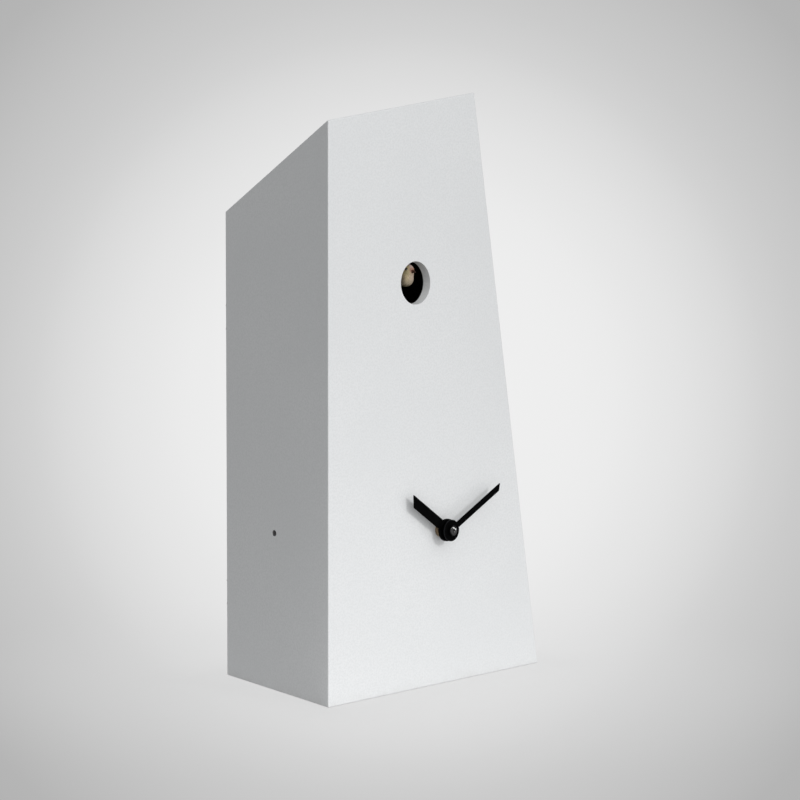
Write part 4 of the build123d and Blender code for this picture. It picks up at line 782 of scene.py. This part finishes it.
def side_at(yy, zz):
    """Half width of the body at side-view points, 0 where there is none."""
    base = np.stack([np.zeros_like(yy), yy, zz], 1)
    has = skin(base) < 0
    lo, hi = np.zeros(len(yy)), np.full(len(yy), 9.0)
    for _ in range(30):
        mid = 0.5 * (lo + hi)
        q = base.copy()
        q[:, 0] = mid
        neg = skin(q) < 0
        lo, hi = np.where(neg, mid, lo), np.where(neg, hi, mid)
    return np.where(has, lo, 0.0)


def spline(pts, s):
    pts = np.array(pts, float)
    n = len(pts) - 1
    f = np.clip(s, 0, 1) * n
    i = np.minimum(f.astype(int), n - 1)
    t = (f - i)[:, None]
    g0, g1 = pts[np.maximum(i - 1, 0)], pts[i]
    g2, g3 = pts[i + 1], pts[np.minimum(i + 2, n)]
    return 0.5 * (2 * g1 + (g2 - g0) * t + (2 * g0 - 5 * g1 + 4 * g2 - g3) * t ** 2
                  + (3 * g1 - g0 - 3 * g2 + g3) * t ** 3)


WING_UP = [(9.6, 6.0), (11.4, 7.0), (14.5, 6.9), (18.5, 5.3), (22.5, 3.5), (26.0, 2.0), (28.8, 0.8)]
WING_LOW = [(9.3, 4.4), (9.8, 2.2), (12.2, 0.6), (16.2, 0.0), (20.5, 0.0), (25.0, 0.1), (28.8, 0.4)]


def build_wing(sign):
    ns, nt = 150, 66
    S, Tt = np.meshgrid(np.linspace(0, 1, ns), np.linspace(0, 1, nt), indexing="ij")
    s, t = S.ravel(), Tt.ravel()
    yz = spline(WING_UP, s) * (1 - t)[:, None] + spline(WING_LOW, s) * t[:, None]
    yy, zz = yz[:, 0], yz[:, 1]
    # scalloped rear outline: each flight feather ends in a rounded tip of its own
    body = side_at(yy, zz)
    free = 4.9 - 0.225 * np.maximum(0.0, yy - 14.0) - 0.10 * np.abs(zz - 2.0) * sstep(yy, 18, 26)
    x = np.log(np.exp((body - 0.10) / 0.35) + np.exp(np.minimum(free, 5.2) / 0.35) * sstep(yy, 11, 17)) * 0.35
    x = np.where(yy < 12.5, np.maximum(body - 0.10, x * sstep(yy, 11, 12.5)), x)
    rim = np.minimum(np.minimum(t, 1 - t) * 9.0, np.minimum(s * 14.0, (1 - s) * 9.0))
    rim = np.sqrt(np.clip(rim, 0, 1))
    # coverts over the front, long flight feathers behind
    tc, xc, ic = scales(s * 11.0 + 20.0, t * 5.4 + 20.0)
    band = t * 6.2 + 1.6 * (s - 0.4)
    fb = band - np.floor(band)
    ib = np.mod(np.sin(np.floor(band) * 12.9898) * 43758.5453, 1.0)
    cov_end = 0.50 + 0.05 * np.cos(band * 2 * math.pi)
    cov = sstep(s, cov_end + 0.006, cov_end - 0.006)
    h_cov = 0.20 + 0.13 * tc - 0.04 * np.exp(-(xc / 0.10) ** 2)
    h_fl = 0.04 + 0.19 * (1 - fb) - 0.05 * np.exp(-((fb - 0.45) / 0.06) ** 2)
    h = np.where(cov > 0.5, h_cov, h_fl) * rim
    xo = x + (0.16 + h) * 1.0
    xi = x - 0.42 + 0.42 * (1 - rim) * 0.4
    outer = np.stack([sign * xo, yy, zz], 1)
    inner = np.stack([sign * xi, yy, zz], 1)
    verts = np.concatenate([outer, inner])
    N = ns * nt
    idx = np.arange(N).reshape(ns, nt)
    a, b, c, d = idx[:-1, :-1].ravel(), idx[1:, :-1].ravel(), idx[1:, 1:].ravel(), idx[:-1, 1:].ravel()
    top = np.stack([a, b, c, d], 1) if sign < 0 else np.stack([d, c, b, a], 1)
    low = top[:, ::-1] + N
    loop = np.concatenate([idx[:, 0], idx[-1, 1:], idx[-2::-1, -1], idx[0, -2:0:-1]])
    nxt = np.roll(loop, -1)
    wall = np.stack([loop, loop + N, nxt + N, nxt], 1) if sign < 0 else np.stack([nxt, nxt + N, loop + N, loop], 1)
    faces = np.concatenate([top, low, wall])
    # paint
    col = np.tile(np.array((0.030, 0.023, 0.016)), (N, 1))
    col = lerp3(col, (0.155, 0.105, 0.055), cov)
    col = lerp3(col, (0.30, 0.22, 0.125), cov * sstep(tc, 0.70, 0.98) * 0.75)
    bar = sstep(s, cov_end + 0.000, cov_end + 0.02) * sstep(s, 0.66, 0.60) * sstep(t, 0.16, 0.30)
    col = lerp3(col, (0.52, 0.345, 0.045), bar * 0.92)
    edge = sstep(fb, 0.14, 0.03) * (1 - cov) * (1 - bar)
    col = lerp3(col, (0.26, 0.20, 0.13), edge * 0.8)
    tips = sstep(s, 0.93, 0.985)
    col = lerp3(col, (0.55, 0.50, 0.43), tips * 0.7)
    col *= (0.88 + 0.24 * np.where(cov > 0.5, ic, ib))[:, None]
    col *= (1 - 0.35 * np.where(cov > 0.5, np.exp(-(xc / 0.06) ** 2), np.exp(-((fb - 0.45) / 0.03) ** 2)))[:, None]
    under = np.tile(np.array((0.20, 0.175, 0.14)), (N, 1))
    return verts, faces, {"paint": np.clip(np.concatenate([col, under]), 0, 1), "tip": np.concatenate([tc, tc])}


def build_tail():
    """Nine feathers in a narrow fan, the middle one on top."""
    V, F, C, Tp = [], [], [], []
    for k in (4, -4, 3, -3, 2, -2, 1, -1, 0):
        ns, nt = 44, 11
        fan = math.radians(3.1 * k)
        length = 17.4 - 0.28 * abs(k) ** 1.5
        s = np.linspace(0, 1, ns)
        half = 1.22 * np.minimum(1.0, 0.72 + 0.5 * s) * np.sqrt(np.clip(1 - ((s - 0.90) / 0.10).clip(0, 1) ** 2, 0.02, 1))
        top0 = 1.62 - 0.155 * abs(k)
        rows = []
        for j in range(nt):
            w = -1 + 2 * j / (nt - 1)
            a, b = s * length, w * half
            uu = a * math.sin(fan) + b * math.cos(fan)
            yy = 20.8 + a * math.cos(fan) - b * math.sin(fan)
            zz = top0 - 0.118 * a - 0.0012 * a * a - 0.16 * w * w + 0.07 * math.exp(-(w / 0.16) ** 2)
            rows.append(np.stack([uu, yy, zz], 1))
        up = np.stack(rows, 1).reshape(-1, 3)
        dn = up.copy()
        dn[:, 2] -= 0.24
        o = sum(len(v) for v in V)
        N = ns * nt
        idx = np.arange(N).reshape(ns, nt)
        a, b, c, d = idx[:-1, :-1].ravel(), idx[1:, :-1].ravel(), idx[1:, 1:].ravel(), idx[:-1, 1:].ravel()
        top = np.stack([d, c, b, a], 1)
        loop = np.concatenate([idx[:, 0], idx[-1, 1:], idx[-2::-1, -1], idx[0, -2:0:-1]])
        nxt = np.roll(loop, -1)
        wall = np.stack([nxt, nxt + N, loop + N, loop], 1)
        F.append(np.concatenate([top, top[:, ::-1] + N, wall]) + o)
        V.append(np.concatenate([up, dn]))
        sw = np.repeat(s, nt)
        ww = np.tile(np.linspace(-1, 1, nt), ns)
        col = np.tile(np.array((0.034, 0.026, 0.018)), (N, 1)) * (0.9 + 0.07 * ((k * 5) % 4))
        col = lerp3(col, (0.23, 0.18, 0.12), sstep(np.abs(ww), 0.72, 0.98) * 0.7)
        col = lerp3(col, (0.60, 0.55, 0.48), sstep(sw, 0.90, 0.97) * (0.8 if abs(k) > 1 else 0.45))
        col *= (1 + 0.9 * np.exp(-(ww / 0.10) ** 2))[:, None]
        C.append(np.concatenate([col, col * 1.6 + 0.05]))
        Tp.append(np.concatenate([sw, sw]))
    return np.concatenate(V), np.concatenate(F), {"paint": np.clip(np.concatenate(C), 0, 1), "tip": np.concatenate(Tp)}


def build_beak():
    """Two mandibles with a gape between them and nostrils in the upper one."""
    V, F, C = [], [], []
    ns, nr = 22, 28
    for upper in (True, False):
        s = np.linspace(0, 1, ns)
        a = np.linspace(0, 2 * math.pi, nr, endpoint=False)
        length = 3.75 if upper else 3.25
        y = 3.55 - length * s
        zc = (7.28 - 0.42 * s - 0.62 * s ** 2) if upper else (6.52 - 0.02 * s - 0.28 * s ** 2)
        half_u = (1.50 if upper else 1.20) * np.sqrt(np.clip(1 - s, 0, 1)) * (1 - 0.30 * s) + 0.02
        up = (1.02 if upper else 0.36) * np.sqrt(np.clip(1 - s, 0, 1)) * (1 - 0.22 * s) + 0.02
        dn = (0.34 if upper else 0.82) * np.sqrt(np.clip(1 - s, 0, 1)) * (1 - 0.30 * s) + 0.02
        ring = []
        for i in range(ns):
            ca, sa = np.cos(a), np.sin(a)
            zz = np.where(sa > 0, sa * up[i], sa * dn[i])
            uu = ca * half_u[i] * (1 - 0.22 * np.maximum(0, sa if upper else -sa))
            if upper:                                                          # nostril dents
                hole = np.exp(-(((s[i] - 0.22) / 0.10) ** 2 + ((np.abs(ca) - 0.62) / 0.25) ** 2)) * (sa > 0)
                uu = uu * (1 - 0.16 * hole)
                zz = zz * (1 - 0.16 * hole)
            ring.append(np.stack([uu, np.full(nr, y[i]), zc[i] + zz], 1))
        v = np.concatenate(ring + [np.array([[0, y[0] + 0.3, zc[0]], [0, y[-1] - 0.03, zc[-1]]])])
        o = sum(len(q) for q in V)
        f = []
        for i in range(ns - 1):
            for j in range(nr):
                k = (j + 1) % nr
                f.append([i * nr + j + o, i * nr + k + o, (i + 1) * nr + k + o, (i + 1) * nr + j + o])
        for j in range(nr):
            k = (j + 1) % nr
            f.append([ns * nr + o, k + o, j + o])
            f.append([ns * nr + 1 + o, (ns - 1) * nr + j + o, (ns - 1) * nr + k + o])
        V.append(v)
        F += f
        ss = np.concatenate([np.repeat(s, nr), [0.0, 1.0]])
        col = np.tile(np.array((0.165, 0.070, 0.046)), (len(v), 1))
        col = lerp3(col, (0.040, 0.010, 0.005), sstep(ss, 0.15, 0.65))
        if not upper:
            col *= 0.75
        C.append(col)
    return np.concatenate(V), F, {"paint": np.concatenate(C), "tip": np.zeros(sum(len(q) for q in V))}


def build_eyes():
    """A bead with a raised lid ring on each side of the head."""
    V, F, C = [], [], []
    for sign in (-1, 1):
        d = np.array((sign * 0.82, -0.49, 0.25))
        d /= np.linalg.norm(d)
        o = np.array((0.0, 6.45, 7.3))
        lo, hi = 0.0, 8.0
        for _ in range(40):
            mid = 0.5 * (lo + hi)
            if skin((o + d * mid)[None])[0] < 0:
                lo = mid
            else:
                hi = mid
        c = o + d * lo
        e1 = np.cross(d, (0, 0, 1.0))
        e1 /= np.linalg.norm(e1)
        e2 = np.cross(d, e1)
        nr = 32
        prof = [(1.10, -0.30), (1.06, -0.02), (0.98, 0.10), (0.88, 0.13), (0.79, 0.10), (0.74, 0.03), (0.72, 0.05),
                (0.68, 0.16), (0.58, 0.29), (0.44, 0.40), (0.28, 0.47), (0.12, 0.50)]
        rim = [(0.125, 0.075, 0.040)] * 6 + [(0.004, 0.0035, 0.003)] * 6
        base = sum(len(q) for q in V)
        v, col = [], []
        for (r, h), cc in zip(prof, rim):
            for j in range(nr):
                a = 2 * math.pi * j / nr
                v.append(c + (e1 * math.cos(a) + e2 * math.sin(a)) * r * 0.80 + d * h * 0.85)
                col.append(cc)
        v.append(c + d * 0.51 * 0.85)
        col.append(rim[-1])
        v.append(c - d * 0.5)
        col.append(rim[0])
        n = len(prof)
        for i in range(n - 1):
            for j in range(nr):
                k = (j + 1) % nr
                F.append([base + i * nr + k, base + i * nr + j, base + (i + 1) * nr + j, base + (i + 1) * nr + k])
        for j in range(nr):
            k = (j + 1) % nr
            F.append([base + n * nr, base + (n - 1) * nr + k, base + (n - 1) * nr + j])
            F.append([base + n * nr + 1, base + j, base + k])
        V.append(np.array(v))
        C.append(np.array(col))
    return np.concatenate(V), F, {"paint": np.concatenate(C), "tip": np.zeros(sum(len(q) for q in V))}


def bird_paint(name, r0, r1, specular, coat=0.0, barbs=True):
    """Hand-painted resin: the painted areas, brush streaks along the feathers and small chips."""
    m, g, b = principled(name, specular=specular, coat=coat, coat_rough=0.12)
    p = g.obj()
    streak = g.noise(g.scale(p, (1.0, 0.22, 1.0)), 2600.0, 3.0, 0.6)
    mottle = g.noise(p, 900.0, 3.0, 0.6)
    paint = g.attr("paint")
    col = g.mix(g.ramp(streak, 0.30, 0.72, 0.0, 0.55), paint, g.mix(1.0, paint, (0.62, 0.60, 0.56), "MULTIPLY"))
    col = g.mix(g.ramp(mottle, 0.58, 0.78, 0.0, 0.35), col, g.mix(1.0, col, (1.28, 1.24, 1.18), "MULTIPLY"))
    rough = g.ramp(mottle, 0.3, 0.75, r0, r1)
    h = g.add(g.mul(streak, 0.6 if barbs else 0.2), g.mul(mottle, 0.4))
    finish_mat(g, b, col, rough, g.bump(h, 0.00006 if barbs else 0.00002, 0.6))
    return m


feather = bird_paint("bird_feathers", 0.50, 0.68, 0.35)
horn = bird_paint("bird_beak_paint", 0.34, 0.48, 0.25, 0.0, False)
bead = bird_paint("bird_eye_paint", 0.06, 0.14, 0.5, 0.8, False)

skin_v, skin_f, skin_a = build_body()
bird_skin = mesh_piece("bird_body_feathers", skin_v, skin_f, feather, skin_a)
pieces_made = [bird_skin]
for side_name, sg in (("left", -1), ("right", 1)):
    v, f, a = build_wing(sg)
    pieces_made.append(mesh_piece("bird_wing_" + side_name, v, f, feather, a))
v, f, a = build_tail()
pieces_made.append(mesh_piece("bird_tail_feathers", v, f, feather, a))
v, f, a = build_beak()
pieces_made.append(mesh_piece("bird_beak", v, f, horn, a))
v, f, a = build_eyes()
pieces_made.append(mesh_piece("bird_eyes", v, f, bead, a))
for o in pieces_made:
    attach(o, "bird_body")
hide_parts("bird")


# ------------------------------------------------------------------
# Floor, light and background
# ------------------------------------------------------------------
def build_floor():
    """Large pale sheet that fades out softly behind and far to the sides."""
    n = 40
    xs = np.linspace(-4.0, 4.0, n + 1)
    verts = [(x, y, -0.0002) for x in xs for y in xs]
    faces = [(i * (n + 1) + j, (i + 1) * (n + 1) + j, (i + 1) * (n + 1) + j + 1, i * (n + 1) + j + 1)
             for i in range(n) for j in range(n)]
    me = bpy.data.meshes.new("floor")
    me.from_pydata(verts, [], faces)
    o = bpy.data.objects.new("floor", me)
    scene.collection.objects.link(o)
    m, g, b = principled("floor_paint", specular=0.25)
    p = g.obj()
    cloud = g.noise(p, 5.0, 3.0, 0.5)
    col = g.mix(cloud, (0.29, 0.292, 0.295), (0.31, 0.312, 0.315))
    finish_mat(g, b, col, g.ramp(cloud, 0.3, 0.7, 0.60, 0.68))
    g.put(b.inputs["Emission Color"], (1.0, 1.0, 1.0))
    m.cycles.emission_sampling = "NONE"
    along = g.vec("DOT_PRODUCT", p, tuple(ALONG))
    x, y, z = g.sep(p)
    reach = g.math("SQRT", g.add(g.mul(x, x), g.mul(y, y)))
    gap_x = g.math("MAXIMUM", g.sub(g.math("ABSOLUTE", x), 0.091), 0.0)
    gap_y = g.math("MAXIMUM", g.sub(g.math("ABSOLUTE", y), 0.056), 0.0)
    gap = g.math("SQRT", g.add(g.mul(gap_x, gap_x), g.mul(gap_y, gap_y)))
    # the floor glows, dimmer within 6 cm of the foot: a painted shadow round the foot
    g.put(b.inputs["Emission Strength"], g.ramp(gap, 0.0, 0.06, 0.43, 0.49))
    fade = g.mul(g.ramp(along, 0.315, 0.235), g.ramp(reach, 0.30, 0.13))
    g.put(b.inputs["Alpha"], g.mul(fade, g.add(0.18, g.ramp(gap, 0.045, 0.0, 0.0, 0.14))))
    me.materials.append(m)
    return o


build_floor()


def area_light(name, at, aim, size, watts, colour=(1.0, 1.0, 1.0), shape="DISK", size_y=None):
    d = bpy.data.lights.new(name, "AREA")
    d.shape = shape
    d.size = size
    if size_y is not None:
        d.size_y = size_y
    d.energy = watts
    d.color = colour
    o = bpy.data.objects.new(name, d)
    scene.collection.objects.link(o)
    o.location = at
    o.rotation_euler = (Vector(aim) - Vector(at)).to_track_quat("-Z", "Y").to_euler()
    return o


face_mid = R(85, 0, 150)
key_dir = Vector((math.sin(math.radians(3.0)) * math.cos(math.radians(18.8)),
                  -math.cos(math.radians(3.0)) * math.cos(math.radians(18.8)), math.sin(math.radians(18.8))))
area_light("key", face_mid + key_dir * 2.2, face_mid, 0.37, 11.2, (1.0, 1.0, 1.0))

# long slim light to the right, for the streak on the cap
hub = R(HUB_X, -10, HUB_Z)
ends = [hub + Vector(d).normalized() * 1.3 for d in ((0.6530, -0.7580, -0.0400), (0.7840, -0.6087, -0.1211))]
strip_c = (ends[0] + ends[1]) * 0.5
strip_w, card_w = 0.020, 0.30
length = (ends[0] - ends[1]).length
to_hub = (hub - strip_c).normalized()
run = (ends[0] - ends[1]).normalized()
run = (run - to_hub * run.dot(to_hub)).normalized()
across = run.cross(-to_hub)
turn = Matrix((across, run, -to_hub)).transposed().to_euler()
strip = area_light("strip", strip_c, hub, strip_w, 20.0 * math.pi * strip_w * length, shape="RECTANGLE", size_y=length)
strip.rotation_euler = turn
strip.visible_diffuse = False
# pale card beside the strip, mirrored by the cap
if across.z > 0.0:
    across = -across
card = area_light("card", strip_c + across * (0.5 * (strip_w + card_w)), hub, card_w, 0.75 * math.pi * card_w * 0.42,
                  shape="RECTANGLE", size_y=0.42)
card.rotation_euler = turn
card.visible_diffuse = False

# light that comes back up from the table in front of the foot
up_at = R(90, -150, 0)
up_at.z = 0.00003
o = area_light("bounce", up_at, up_at + Vector((0.0, 0.0, 1.0)), 0.60, 0.362 * math.pi * 0.18, shape="RECTANGLE", size_y=0.30)
o.rotation_euler = (math.pi, 0.0, 0.0)
o.visible_glossy = False
for o in scene.objects:
    if o.type == "LIGHT":
        o.visible_camera = False

world = bpy.data.worlds.new("studio")
scene.world = world
world.use_nodes = True
wt = Graph(world.node_tree)
world.node_tree.nodes.clear()
w_out = wt.new("ShaderNodeOutputWorld")
w_dir = wt.new("ShaderNodeTexCoord").outputs["Generated"]
wx, wy, wz = wt.sep(w_dir)
front = wt.ramp(wt.vec("DOT_PRODUCT", w_dir, (-0.4214, -0.9069, 0.0)), 0.0, 1.0)
front = wt.mul(front, wt.ramp(wz, -0.585, -0.124, 0.01, 1.0))
top = wt.ramp(wz, 0.0, 1.0)
rear = wt.ramp(wt.vec("DOT_PRODUCT", w_dir, (0.62, 0.785, 0.0)), 0.0, 1.0)
level = wt.add(wt.add(wt.add(0.01, wt.mul(front, 1.155)), wt.mul(rear, 0.58)), wt.mul(top, 0.44))
light_bg = wt.new("ShaderNodeBackground")
wt.put(light_bg.inputs["Color"], (0.985, 0.995, 1.0))
wt.put(light_bg.inputs["Strength"], level)
# backdrop: brightest behind the clock, falling off softly round it
cam_bg = wt.new("ShaderNodeBackground")
facing = wt.vec("DOT_PRODUCT", w_dir, tuple(VIEW))
fall = wt.new("ShaderNodeValToRGB")
wt.put(fall.inputs[0], wt.ramp(facing, 0.9, 1.0, kind="LINEAR"))
stops = [(0.0, 0.62), (0.5, 0.60), (0.70, 0.45), (0.7381, 0.462), (0.8485, 0.597), (0.8751, 0.645), (0.8956, 0.701),
         (0.9283, 0.776), (0.9391, 0.794), (0.9566, 0.831), (0.9712, 0.850), (1.0, 0.868)]
while len(fall.color_ramp.elements) < len(stops):
    fall.color_ramp.elements.new(0.5)
for e, (at, v) in zip(fall.color_ramp.elements, stops):
    e.position = at
    e.color = (v, v, v, 1.0)
wt.put(cam_bg.inputs["Color"], fall.outputs[0])
wt.put(cam_bg.inputs["Strength"], 1.0)
lp = wt.new("ShaderNodeLightPath")
w_mix = wt.new("ShaderNodeMixShader")
world.node_tree.links.new(lp.outputs["Is Camera Ray"], w_mix.inputs[0])
world.node_tree.links.new(light_bg.outputs[0], w_mix.inputs[1])
world.node_tree.links.new(cam_bg.outputs[0], w_mix.inputs[2])
world.node_tree.links.new(w_mix.outputs[0], w_out.inputs["Surface"])

scene.view_settings.view_transform = "Standard"
scene.view_settings.look = "None"
